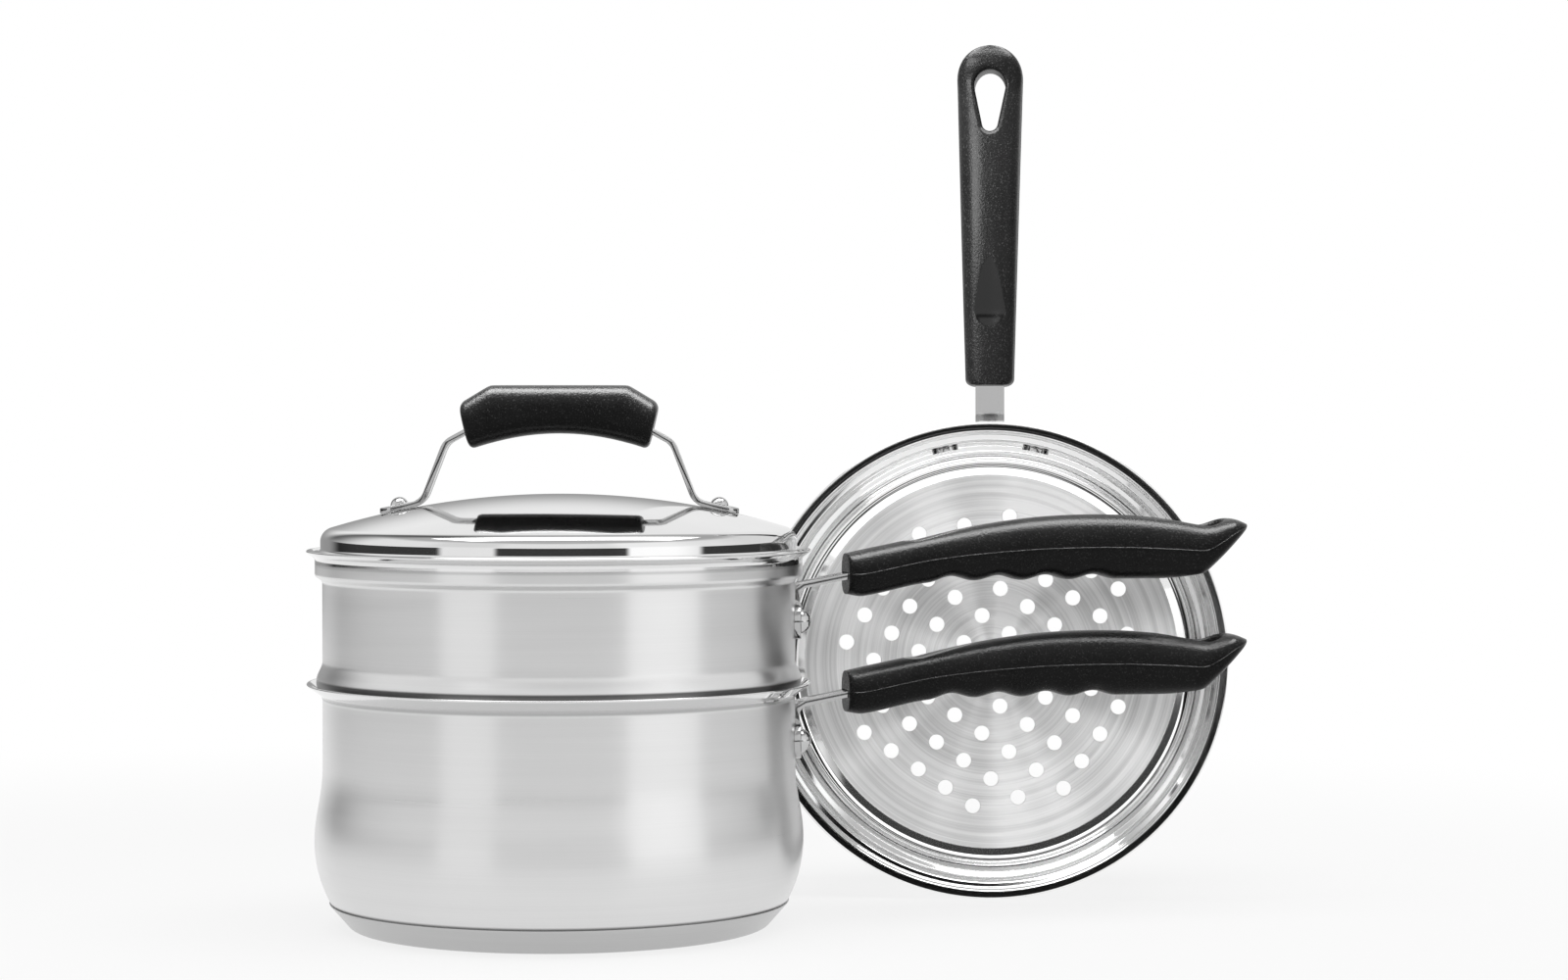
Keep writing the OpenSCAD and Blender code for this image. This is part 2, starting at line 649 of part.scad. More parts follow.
module lid_rivets() {
    head_z = bail_rise + bail_t / 2 + fit;
    tail_z = -lid_t - 2 * fit;
    color(steel) at_lid_rivets() {
        translate([0, 0, head_z]) round_head(lid_rivet_head_d, lid_rivet_head_h);
        translate([0, 0, tail_z]) cylinder(d = lid_rivet_d, h = head_z - tail_z + fit, $fn = bore_n);
        translate([0, 0, tail_z - rivet_tail_h])
            cylinder(d = lid_rivet_head_d, h = rivet_tail_h, $fn = head_n);
    }
}

module lid_grip() {
    color(phenolic) rotate([0, 0, lid_turn]) difference() {
        translate([0, 0, crown_z]) loft([for (s = knob_sections()) knob_ring(s[0], s[1])]);
        ribbon(bail_path, bail_t + 2 * fit, bail_w + 2 * fit);
    }
}

// Steamer insert, standing on its side
module steamer_insert_pan() {
    color(satin) standing() difference() {
        insert_pan();
        hole_grid();
    }
}

module steamer_insert_handle_bracket() { color(steel) standing() bracket(insert_rivet_z); }
module steamer_insert_rivets() { color(steel) standing() pan_rivets(insert_rivet_z); }
module steamer_insert_grip() { color(phenolic) standing() grip(insert_rivet_z, steamer_grip_len); }
module steamer_insert_grip_screw() { color(steel) standing() grip_screw(insert_rivet_z); }

saucepan_pot();
saucepan_base_disc();
saucepan_base_cap();
saucepan_handle_bracket();
saucepan_rivets();
saucepan_grip();
saucepan_grip_screw();
boiler_insert_pan();
boiler_insert_handle_bracket();
boiler_insert_rivets();
boiler_insert_grip();
boiler_insert_grip_screw();
lid_cover();
lid_handle_strap();
lid_rivets();
lid_grip();
steamer_insert_pan();
steamer_insert_handle_bracket();
steamer_insert_rivets();
steamer_insert_grip();
steamer_insert_grip_screw();
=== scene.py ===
"""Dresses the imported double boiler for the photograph's view.

The turned pans, the lid and the grips are modelled anew over their CAD nodes, and the small steel pieces
keep the CAD shape with their edges broken. All sizes are in millimetres until a mesh is finished.
"""
from __future__ import annotations

import json
import logging
import math
from dataclasses import dataclass, field
from enum import Enum
from typing import Sequence

import bmesh
import bpy
from mathutils import Euler, Matrix, Vector

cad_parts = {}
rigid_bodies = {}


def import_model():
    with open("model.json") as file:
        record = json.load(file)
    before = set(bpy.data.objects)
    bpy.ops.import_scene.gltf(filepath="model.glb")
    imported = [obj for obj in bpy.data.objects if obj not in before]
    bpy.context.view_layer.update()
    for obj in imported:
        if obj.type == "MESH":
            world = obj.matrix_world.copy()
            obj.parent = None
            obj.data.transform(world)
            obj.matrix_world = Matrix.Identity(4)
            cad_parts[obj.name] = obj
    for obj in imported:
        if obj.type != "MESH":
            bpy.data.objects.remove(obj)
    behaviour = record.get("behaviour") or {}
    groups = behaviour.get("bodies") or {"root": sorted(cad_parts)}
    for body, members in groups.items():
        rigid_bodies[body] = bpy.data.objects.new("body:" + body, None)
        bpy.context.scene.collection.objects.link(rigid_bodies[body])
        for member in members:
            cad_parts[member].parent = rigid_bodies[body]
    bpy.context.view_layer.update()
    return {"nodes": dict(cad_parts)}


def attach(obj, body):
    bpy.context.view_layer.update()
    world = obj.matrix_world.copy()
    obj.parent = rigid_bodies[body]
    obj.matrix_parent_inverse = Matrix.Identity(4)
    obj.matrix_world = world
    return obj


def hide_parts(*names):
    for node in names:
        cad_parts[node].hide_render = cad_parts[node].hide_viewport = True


LOG = logging.getLogger("double_boiler")
MM = 0.001
RIDGE_FOOT = 0.3
STEAMER_AT = (0.1996, 0.0468)
STEAMER_TURN = 75.0

Point = tuple[float, float]
Path = list[Point]


# Shader building


class Wire:
    """A node's output that takes part in sums, so shader maths reads as plain expressions."""

    def __init__(self, tree: "NodeTree", socket: bpy.types.NodeSocket) -> None:
        """Wraps one output socket of a tree."""
        self.tree = tree
        self.socket = socket

    def __add__(self, other: "Wire | float") -> "Wire":
        """Sum of the two."""
        return self.tree.maths("ADD", self, other)

    def __radd__(self, other: float) -> "Wire":
        """Sum with a plain number on the left."""
        return self.tree.maths("ADD", other, self)

    def __sub__(self, other: "Wire | float") -> "Wire":
        """Difference of the two."""
        return self.tree.maths("SUBTRACT", self, other)

    def __rsub__(self, other: float) -> "Wire":
        """Difference from a plain number."""
        return self.tree.maths("SUBTRACT", other, self)

    def __mul__(self, other: "Wire | float") -> "Wire":
        """Product of the two."""
        return self.tree.maths("MULTIPLY", self, other)

    def __rmul__(self, other: float) -> "Wire":
        """Product with a plain number on the left."""
        return self.tree.maths("MULTIPLY", other, self)

    def __truediv__(self, other: "Wire | float") -> "Wire":
        """Quotient of the two."""
        return self.tree.maths("DIVIDE", self, other)


class NodeTree:
    """Makes nodes in one node tree."""

    def __init__(self, tree: bpy.types.NodeTree) -> None:
        """Empties the tree."""
        self.tree = tree
        self.tree.nodes.clear()

    def node(
        self,
        kind: str,
        settings: dict[str, object] | None = None,
        inputs: dict[str | int, object] | None = None,
    ) -> bpy.types.Node:
        """Adds one node.

        Args:
            kind: Blender's name of the node type.
            settings: properties of the node, set before its inputs.
            inputs: a value or a Wire for each input, by name or number.

        Returns:
            The new node.
        """
        made = self.tree.nodes.new(kind)
        for key, value in (settings or {}).items():
            setattr(made, key, value)
        for key, value in (inputs or {}).items():
            if isinstance(value, Wire):
                self.tree.links.new(value.socket, made.inputs[key])
            else:
                made.inputs[key].default_value = value
        return made

    def out(self, made: bpy.types.Node, socket: str | int = 0) -> Wire:
        """One output of a node as a Wire."""
        return Wire(self, made.outputs[socket])

    def maths(self, operation: str, *values: "Wire | float", clamp: bool = False) -> Wire:
        """A Math node on wires and numbers.

        Args:
            operation: the Math node's operation.
            values: its inputs in order.
            clamp: whether the result is kept between 0 and 1.

        Returns:
            The node's output.
        """
        settings = {"operation": operation, "use_clamp": clamp}
        return self.out(self.node("ShaderNodeMath", settings, dict(enumerate(values))))

    def ease(self, value: Wire, start: float, end: float) -> Wire:
        """A smooth step from 0 at start to 1 at end."""
        settings = {"interpolation_type": "SMOOTHSTEP"}
        inputs = {"Value": value, "From Min": start, "From Max": end, "To Min": 0.0, "To Max": 1.0}
        return self.out(self.node("ShaderNodeMapRange", settings, inputs))

    def within(self, value: Wire, low: Point, high: Point) -> Wire:
        """1 between two places, with a smooth step up over low and down over high."""
        return self.ease(value, *low) * (1 - self.ease(value, *high))

    def noise(self, vector: Wire, scale: float, detail: float = 2.0) -> Wire:
        """Plain noise between 0 and 1 over a vector."""
        inputs = {"Vector": vector, "Scale": scale, "Detail": detail, "Roughness": 0.55}
        return self.out(self.node("ShaderNodeTexNoise", None, inputs), "Fac")

    def grey(self, value: Wire) -> Wire:
        """A number as a neutral colour."""
        inputs = {"Red": value, "Green": value, "Blue": value}
        return self.out(self.node("ShaderNodeCombineColor", None, inputs))

    def bump(self, height: Wire, strength: float, distance: float) -> Wire:
        """A bumped normal from a height, whose full swing stands distance millimetres high."""
        inputs = {"Height": height, "Strength": strength, "Distance": distance * MM}
        return self.out(self.node("ShaderNodeBump", None, inputs))


class Frame(NodeTree):
    """Node maker for one material that works in a pan's own frame, whose axis is Z."""

    def __init__(self, name: str, place: Matrix) -> None:
        """Starts a material whose patterns lie in the frame that place puts in the world."""
        self.material = bpy.data.materials.new(name)
        self.material.use_nodes = True
        super().__init__(self.material.node_tree)
        coords = self.out(self.node("ShaderNodeTexCoord"), "Object")
        spot, turn = place.to_translation(), place.to_euler()
        inputs = {"Vector": coords, "Location": spot, "Rotation": turn}
        self.local = self.out(self.node("ShaderNodeMapping", {"vector_type": "TEXTURE"}, inputs))
        split = self.node("ShaderNodeSeparateXYZ", None, {0: self.local})
        self.x, self.y, self.z = (self.out(split, axis) for axis in "XYZ")
        self.radius = self.maths("SQRT", self.x * self.x + self.y * self.y)

    def turned(self, close: float, about: float) -> Wire:
        """Coordinates for marks that run round the axis.

        Args:
            close: how closely the marks follow each other, along the radius and along the axis.
            about: how much they change on the way round.

        Returns:
            A vector for a noise texture.
        """
        reach = self.radius + 0.001
        inputs = {
            "X": self.radius * close + self.x / reach * about,
            "Y": self.z * close + self.y / reach * about,
            "Z": self.z * close * 0.37 - self.radius * close * 0.21,
        }
        return self.out(self.node("ShaderNodeCombineXYZ", None, inputs))

    def around(self, turns: float) -> Wire:
        """Coordinates that change only on the way round the axis."""
        reach = self.radius + 0.0001
        inputs = {"X": self.x / reach * turns, "Y": self.y / reach * turns, "Z": turns}
        return self.out(self.node("ShaderNodeCombineXYZ", None, inputs))

    def finish(
        self,
        shader: dict[str, object],
        other: dict[str, object] | None = None,
        share: Wire | None = None,
    ) -> bpy.types.Material:
        """Ends the material with a Principled shader.

        Args:
            shader: the shader's inputs.
            other: inputs of a second shader, where there is one.
            share: how much of the second shader shows.

        Returns:
            The material.
        """
        surface = self.out(self.node("ShaderNodeBsdfPrincipled", None, shader))
        if other:
            second = self.out(self.node("ShaderNodeBsdfPrincipled", None, other))
            inputs = {"Fac": share, 1: surface, 2: second}
            surface = self.out(self.node("ShaderNodeMixShader", None, inputs))
        self.node("ShaderNodeOutputMaterial", None, {"Surface": surface})
        return self.material


# Finishes


@dataclass(frozen=True)
class TurnedSteel:
    """Stainless steel with the fine marks of a lathe belt round the axis, and a polished lip.

    Painted shade bands are (low, high, shade): painted shade in the crevices where parts meet, between two
    heights. Rings say how much the tone of a turned floor changes along the radius, and painted fans how
    much painted highlight runs in fans on the way round.
    """

    name: str
    tone: float = 0.74
    roughness: float = 0.3
    polished: float = 0.04
    anisotropy: float = 0.8
    streak: float = 0.05
    groove: float = 0.002
    lip_z: float | None = None
    floor_r: float | None = None
    painted_shade_bands: tuple[tuple[float, float, float], ...] = ()
    rings: float = 0.0
    painted_fans: float = 0.0

    def material(self, place: Matrix = Matrix.Identity(4)) -> bpy.types.Material:
        """Builds the finish in the frame of one pan.

        Args:
            place: the pan's place in the world, in metres.

        Returns:
            The material.
        """
        t = Frame(self.name, place)
        fine = t.noise(t.turned(2600, 0.6), 1.0, 3.0)
        broad = t.noise(t.turned(180, 0.9), 1.0, 2.0)
        cloud = t.noise(t.local, 14.0)
        satin = self._satin_mask(t)
        tone = self.tone + (fine - 0.5) * self.streak + (broad - 0.5) * self.streak
        tone = tone + (cloud - 0.5) * 0.03
        if self.rings:
            ring = t.ease(t.noise(t.turned(520, 0.3), 1.0, 4.0), 0.32, 0.68)
            # Painted highlight: bright fans on the way round the floor, as light lies on a turned disc.
            fan_highlight = t.ease(t.noise(t.around(1.9), 1.0, 1.0), 0.36, 0.64)
            tone = tone + (ring - 0.5) * self.rings + (fan_highlight - 0.5) * self.painted_fans
        tone = tone * satin + (1 - satin) * (self.tone + 0.04 + (cloud - 0.5) * 0.02)
        rough = self.roughness + (broad - 0.5) * 0.08 + (fine - 0.5) * 0.06
        rough = rough * satin + (1 - satin) * (self.polished + cloud * 0.03)
        # Painted shade: darker bands in the crevices where the cap, the nested pans and the lid meet.
        for low, high, shade in self.painted_shade_bands:
            ends = [((z - 0.5) * MM, (z + 0.5) * MM) for z in (low, high)]
            tone = tone * (1 - t.within(t.z, *ends) * shade)
        height = (fine - 0.5) * satin + (cloud - 0.5) * 0.02
        return t.finish(
            {
                "Base Color": t.grey(tone),
                "Metallic": 1.0,
                "Roughness": rough,
                "Anisotropic": self.anisotropy,
                "Anisotropic Rotation": 0.25,
                "Normal": t.bump(height, 1.0, self.groove),
            }
        )

    def _satin_mask(self, t: Frame) -> Wire:
        """1 where the steel is satin and 0 where it is polished."""
        mask = 1 - t.ease(t.z, 1.0, 2.0)
        if self.lip_z is not None:
            mask = 1 - t.ease(t.z, (self.lip_z - 0.4) * MM, (self.lip_z + 0.4) * MM)
        if self.floor_r is not None:
            mask = mask * (1 - t.ease(t.radius, (self.floor_r - 0.8) * MM, self.floor_r * MM))
        return mask


@dataclass(frozen=True)
class BrightSteel:
    """Polished or tumbled steel with faint clouding and hairlines."""

    name: str
    tone: float = 0.72
    roughness: float = 0.1
    hairline: float = 0.02

    def material(self, place: Matrix = Matrix.Identity(4)) -> bpy.types.Material:
        """Builds the finish.

        Args:
            place: the frame in which its marks lie, in metres.

        Returns:
            The material.
        """
        t = Frame(self.name, place)
        cloud = t.noise(t.local, 60.0, 3.0)
        hair = t.noise(t.turned(900, 2.0), 1.0, 2.0)
        tone = self.tone + (cloud - 0.5) * 0.05 + (hair - 0.5) * self.hairline
        rough = self.roughness + (cloud - 0.5) * 0.05 + (hair - 0.5) * self.hairline
        return t.finish(
            {
                "Base Color": t.grey(tone),
                "Metallic": 1.0,
                "Roughness": rough,
                "Normal": t.bump(cloud + hair * 0.3, 0.3, 0.02),
            }
        )


@dataclass(frozen=True)
class Phenolic:
    """Black moulded phenolic with a fine grain."""

    name: str = "black_phenolic"
    tone: float = 0.0045
    roughness: float = 0.29
    specular: float = 0.1
    speck: float = 0.018
    grain: float = 0.22
    recess_specular: float = 0.38
    upper_side: Point = (24.0, 26.0)

    def material(
        self, place: Matrix = Matrix.Identity(4), recess: "tuple[float, GripShape] | None" = None
    ) -> bpy.types.Material:
        """Builds the finish.

        Args:
            place: the frame in which its grain lies, in metres.
            recess: where the glossy thumb recess lies along the grip, and the grip's shape.

        Returns:
            The material.
        """
        t = Frame(self.name, place)
        pebble = t.noise(t.local, 1100.0, 2.0)
        flow = t.noise(t.local, 45.0, 2.0)
        speck = t.ease(t.noise(t.local, 1500.0, 1.0), 0.58, 0.72)
        gloss = self._gloss_mask(t, *recess) if recess else None
        tone = self.tone + (flow - 0.5) * 0.005 + speck * self.speck
        rough = self.roughness + (flow - 0.5) * 0.08 + (pebble - 0.5) * 0.12
        grained = {
            "Base Color": t.grey(tone),
            "Roughness": rough,
            "Specular IOR Level": self.specular,
            "Normal": t.bump(pebble, 0.7, self.grain),
        }
        if recess is None:
            return t.finish(grained)
        glossy = {
            "Base Color": t.grey(0.002 + flow * 0.001),
            "Roughness": 0.14,
            "Specular IOR Level": self.recess_specular,
        }
        return t.finish(grained, glossy, gloss)

    def _gloss_mask(self, t: Frame, start: float, grip: "GripShape") -> Wire:
        """1 in the thumb recess, whose sides are those of the modelled bowl."""
        run = grip.thumb_len - grip.thumb_w / 2
        ahead = t.maths("DIVIDE", t.x - start * MM, run * MM, clamp=True)
        behind = t.maths("MINIMUM", t.x - start * MM, 0.0)
        fall = (1 - ahead) * (2 * grip.thumb_bowl() * grip.thumb_depth * MM * MM)
        inside = fall - behind * behind - t.y * t.y
        on_top = t.ease(t.z, self.upper_side[0] * MM, self.upper_side[1] * MM)
        return t.ease(inside, 0.5 * MM * MM, 3.0 * MM * MM) * on_top


# Plane paths, as lists of (radius, height)


def direction(a: Point, b: Point) -> Point:
    """Unit vector from a to b."""
    dx, dz = b[0] - a[0], b[1] - a[1]
    size = math.hypot(dx, dz)
    return dx / size, dz / size


def arc(centre: Point, radius: float, start: float, end: float, parts: int) -> Path:
    """Points of an arc, from one angle to another in degrees."""
    turn = [math.radians(start + (end - start) * i / parts) for i in range(parts + 1)]
    return [(centre[0] + radius * math.cos(a), centre[1] + radius * math.sin(a)) for a in turn]


def rounded(a: Point, b: Point, c: Point, radius: float, parts: int = 12) -> Path:
    """The corner b between a and c, rounded.

    Args:
        a: a point before the corner.
        b: the corner.
        c: a point after it.
        radius: bend radius.
        parts: number of segments.

    Returns:
        The points of the bend.
    """
    u, v = direction(b, a), direction(b, c)
    half = math.acos(max(-1.0, min(1.0, u[0] * v[0] + u[1] * v[1]))) / 2
    bisector = direction((0.0, 0.0), (u[0] + v[0], u[1] + v[1]))
    reach, run = radius / math.sin(half), radius / math.tan(half)
    mid = (b[0] + bisector[0] * reach, b[1] + bisector[1] * reach)
    p = (b[0] + u[0] * run - mid[0], b[1] + u[1] * run - mid[1])
    q = (b[0] + v[0] * run - mid[0], b[1] + v[1] * run - mid[1])
    first, last = math.degrees(math.atan2(p[1], p[0])), math.degrees(math.atan2(q[1], q[0]))
    return arc(mid, radius, first, first + (last - first + 540) % 360 - 180, parts)


def eased(start: Point, end: Point, parts: int) -> Path:
    """A swell that eases from one radius to another, without its first point."""
    path = []
    for i in range(1, parts + 1):
        share = (1 + math.cos(math.pi * i / parts)) / 2
        height = start[1] + (end[1] - start[1]) * i / parts
        path.append((end[0] + (start[0] - end[0]) * share, height))
    return path


def straight(start: Point, end: Point, parts: int) -> Path:
    """Points between two points, without either end."""
    return [
        (start[0] + (end[0] - start[0]) * i / parts, start[1] + (end[1] - start[1]) * i / parts)
        for i in range(1, parts)
    ]


def offset(path: Path, distance: float) -> Path:
    """The path moved to its left by a distance, with mitred corners."""
    moved = []
    last = len(path) - 1
    for i, point in enumerate(path):
        before = direction(path[max(i, 1) - 1], path[max(i, 1)])
        after = direction(path[min(i, last - 1)], path[min(i, last - 1) + 1])
        a, b = (-before[1], before[0]), (-after[1], after[0])
        mean = direction((0.0, 0.0), (a[0] + b[0], a[1] + b[1]))
        reach = distance / (mean[0] * a[0] + mean[1] * a[1])
        moved.append((max(0.0, point[0] + mean[0] * reach), point[1] + mean[1] * reach))
    return moved


# Meshes


def turn_profile(
    shape: bmesh.types.BMesh, path: Path, steps: int, centre: Point = (0.0, 0.0)
) -> None:
    """Spins a profile a full turn about an upright axis and closes its seam.

    Args:
        shape: the bmesh to add to.
        path: the profile as (radius, height) from the axis.
        steps: segments of the turn.
        centre: where the axis stands.
    """
    profile = [shape.verts.new((centre[0] + r, centre[1], z)) for r, z in path]
    edges = [shape.edges.new(pair) for pair in zip(profile, profile[1:])]
    bmesh.ops.spin(
        shape,
        geom=profile + edges,
        cent=(centre[0], centre[1], 0.0),
        axis=(0.0, 0.0, 1.0),
        angle=math.tau,
        steps=steps,
        use_merge=True,
        use_duplicate=False,
    )


def lift(height: float) -> Matrix:
    """A place straight above the origin, at a height in millimetres."""
    return Matrix.Translation((0.0, 0.0, height * MM))


def close_up(shape: bmesh.types.BMesh) -> None:
    """Merges doubles and turns all faces outwards."""
    bmesh.ops.remove_doubles(shape, verts=shape.verts[:], dist=0.001)
    bmesh.ops.recalc_face_normals(shape, faces=shape.faces[:])


def to_metres(shape: bmesh.types.BMesh, place: Matrix) -> None:
    """Scales a bmesh from millimetres to metres and puts it in its place."""
    matrix = place @ Matrix.Diagonal((MM, MM, MM, 1.0))
    bmesh.ops.transform(shape, matrix=matrix, verts=shape.verts[:])


def smooth(mesh: bpy.types.Mesh, sharp: float) -> None:
    """Shades a mesh smooth, except where it bends more than an angle in degrees."""
    for face in mesh.polygons:
        face.use_smooth = True
    mesh.set_sharp_from_angle(angle=math.radians(sharp))


def make_piece(
    name: str,
    shape: bmesh.types.BMesh,
    finish: bpy.types.Material,
    place: Matrix = Matrix.Identity(4),
    sharp: float = 40.0,
) -> bpy.types.Object:
    """Turns a bmesh in millimetres into an object whose place is in its mesh.

    Args:
        name: name of the piece.
        shape: the bmesh, which is freed.
        finish: its material.
        place: the piece's place in the world, in metres.
        sharp: edges bent more than this, in degrees, stay sharp.

    Returns:
        The linked object.
    """
    to_metres(shape, place)
    mesh = bpy.data.meshes.new(name)
    shape.to_mesh(mesh)
    shape.free()
    smooth(mesh, sharp)
    mesh.materials.append(finish)
    made = bpy.data.objects.new(name, mesh)
    bpy.context.scene.collection.objects.link(made)
    return made


# Sizes that several pieces share


@dataclass(frozen=True)
class PanSizes:
    """The sizes that the pans share, as in the CAD part."""

    radius: float = 100.0
    wall: float = 1.0
    lip_out: float = 6.7
    lip_slope: float = 35.0
    lip_bend: float = 4.0
    seat: float = 0.3
    stack_z: float = 80.4
    around: int = 192

    def lip_mid(self, height: float) -> Point:
        """Middle of the lip's round edge."""
        return self.radius + self.lip_out - self.wall / 2, height - self.wall / 2

    def lip_skin(self, height: float, side: float) -> Point:
        """The lip's edge on its lower skin, side 1, or its upper skin, side -1."""
        mid, a = self.lip_mid(height), math.radians(self.lip_slope)
        half = side * self.wall / 2
        return mid[0] + half * math.sin(a), mid[1] - half * math.cos(a)

    def lip_run(self, r: float, height: float, bend: float) -> Path:
        """The bend at the foot of the lip and the lip's lower skin."""
        tip = self.lip_skin(height, 1)
        foot = (r, tip[1] - (tip[0] - r) * math.tan(math.radians(self.lip_slope)))
        return rounded((r, 0.0), foot, tip, bend) + [tip]

    def sheet(self, path: Path, height: float) -> Path:
        """A closed section of the sheet, from its outer path round the lip's edge and back inside."""
        start = self.lip_slope - 90
        edge = arc(self.lip_mid(height), self.wall / 2, start, start + 180, 14)
        return path + edge[1:-1] + offset(path, self.wall)[::-1]


@dataclass
class Saucepan:
    """The bellied saucepan with its capped base."""

    sizes: PanSizes
    body: str = "saucepan"
    height: float = 103.3
    belly_out: float = 3.5
    belly_z: float = 36.7
    belly_top_z: float = 68.0
    belly_r: float = 54.0
    floor_z: float = 7.8
    floor_bend: float = 3.5
    cap_t: float = 0.7
    cap_h: float = 10.2
    foot_r: float = 86.5
    cap_bend: float = 4.0
    rivet_z: float = 78.1
    # Painted shade bands at the cap's edge and at the lip under the insert's shoulder.
    wall_finish: TurnedSteel = TurnedSteel(
        "saucepan_steel", lip_z=97.8, painted_shade_bands=((10.0, 11.6, 0.55), (96.6, 98.6, 0.4))
    )
    cap_finish: TurnedSteel = TurnedSteel("base_cap_steel", tone=0.55, roughness=0.34)

    def _belly(self) -> tuple[Point, Point, float]:
        """Centres of the belly's curve and of the floor's bend, and the angle where they meet."""
        centre = (self.sizes.radius + self.belly_out - self.belly_r, self.belly_z)
        drop = self.belly_z - self.floor_z - self.floor_bend
        reach = math.sqrt((self.belly_r - self.floor_bend) ** 2 - drop**2)
        bend = (centre[0] + reach, self.floor_z + self.floor_bend)
        return centre, bend, -math.degrees(math.asin(drop / (self.belly_r - self.floor_bend)))

    def outer_path(self) -> Path:
        """The outer skin, from the middle of the floor to the lip."""
        centre, bend, meet = self._belly()
        widest = (self.sizes.radius + self.belly_out, self.belly_z)
        top = (self.sizes.radius, self.belly_top_z)
        floor = [(0.0, self.floor_z)]
        floor += straight((0.0, self.floor_z), (bend[0], self.floor_z), 24)
        curve = arc(bend, self.floor_bend, -90, meet, 8)
        curve += arc(centre, self.belly_r, meet, 0, 28)[1:]
        swell = eased(widest, top, 26)
        lip = self.sizes.lip_run(self.sizes.radius, self.height, self.sizes.lip_bend)
        return floor + curve + swell + straight(top, lip[0], 12) + lip

    def make_pot(self) -> bpy.types.Object:
        """Builds the pot over its node."""
        shape = bmesh.new()
        turn_profile(shape, self.sizes.sheet(self.outer_path(), self.height), self.sizes.around)
        close_up(shape)
        made = make_piece("saucepan_wall", shape, self.wall_finish.material())
        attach(made, self.body)
        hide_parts("saucepan_pot")
        return made

    def make_cap(self) -> bpy.types.Object:
        """Builds the steel cap that holds the heat spreading disc."""
        centre = self._belly()[0]
        rim = self.belly_r**2 - (self.belly_z - self.cap_h) ** 2
        edge = centre[0] + math.sqrt(rim) + self.cap_t
        side = math.atan2(self.cap_h, edge - self.foot_r - self.cap_bend / 2)
        foot = (self.foot_r + self.cap_bend * math.tan(side / 2), 0.0)
        path = [(0.0, 0.0)] + straight((0.0, 0.0), foot, 24)
        path = path[:-1] + rounded((0.0, 0.0), foot, (edge, self.cap_h), self.cap_bend, 10)
        path += straight(path[-1], (edge, self.cap_h), 6) + [(edge, self.cap_h)]
        inside = offset(path, self.cap_t)
        lip_mid = ((path[-1][0] + inside[-1][0]) / 2, (path[-1][1] + inside[-1][1]) / 2)
        slope = math.degrees(side)
        edge_round = arc(lip_mid, self.cap_t / 2, slope - 90, slope + 90, 6)[1:-1]
        highest = self.cap_h + self.cap_t / 2
        edge_round = [(r, min(z, highest)) for r, z in edge_round]
        shape = bmesh.new()
        turn_profile(shape, path + edge_round + inside[::-1], self.sizes.around)
        close_up(shape)
        made = make_piece("saucepan_cap", shape, self.cap_finish.material())
        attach(made, self.body)
        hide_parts("saucepan_base_cap")
        return made


@dataclass
class Insert:
    """The nesting pan that the boiler insert and the steamer share."""

    sizes: PanSizes
    height: float = 79.0
    rise: float = 56.1
    nest_gap: float = 2.0
    shoulder_out: float = 2.6
    recess_out: float = 3.1
    recess_h: float = 7.5
    bottom_bend: float = 6.0
    shoulder_bend: float = 4.0
    recess_bend: float = 2.0
    swell_h: float = 8.4
    swell_start: float = 1.0
    rivet_z: float = 48.4

    def seat_height(self, r: float) -> float:
        """Height of the seating slope at a radius."""
        a = math.radians(self.sizes.lip_slope)
        top = self.sizes.lip_skin(self.height - self.rise, -1)
        at = (top[0] - self.sizes.seat * math.sin(a), top[1] + self.sizes.seat * math.cos(a))
        return at[1] - (at[0] - r) * math.tan(a)

    @property
    def nest_r(self) -> float:
        """Radius of the lower wall."""
        return self.sizes.radius - self.sizes.wall - self.nest_gap

    @property
    def shoulder_r(self) -> float:
        """Radius of the seating shoulder."""
        return self.sizes.radius + self.shoulder_out

    def outer_path(self, floor_from: float = 0.0) -> Path:
        """The outer skin, from the floor to the lip.

        Args:
            floor_from: radius at which the floor starts, 0 for its middle.

        Returns:
            The path.
        """
        nest, shoulder, r = self.nest_r, self.shoulder_r, self.sizes.radius
        seat_z = self.height - self.rise
        shoulder_z = seat_z + self.swell_start
        start = (floor_from, 0.0)
        toe, knee = (nest, 0.0), (nest, self.seat_height(nest))
        brow, top = (shoulder, self.seat_height(shoulder)), (shoulder, shoulder_z)
        slope = math.tan(math.radians(self.sizes.lip_slope))
        tip = self.sizes.lip_skin(self.height, 1)
        recess = r + self.recess_out
        recess_top = tip[1] - (tip[0] - recess) * slope
        ledge = (recess, recess_top - self.recess_h)
        under_ledge = (r, ledge[1] - self.recess_out * slope)
        path = [start] + straight(start, (nest - self.bottom_bend, 0.0), 12)
        path += rounded(start, toe, knee, self.bottom_bend, 12)
        path += straight(path[-1], knee, 5)
        path += rounded(toe, knee, brow, self.sizes.lip_bend, 10)
        path += rounded(knee, brow, top, self.shoulder_bend, 12) + [top]
        path += eased(top, (r, shoulder_z + self.swell_h), 12)
        path += straight(path[-1], under_ledge, 10)[:-1]
        path += rounded((r, 0.0), under_ledge, ledge, self.recess_bend, 10)
        path += rounded(under_ledge, ledge, (recess, recess_top), self.recess_bend, 10)
        return path + self.sizes.lip_run(recess, self.height, self.recess_bend)


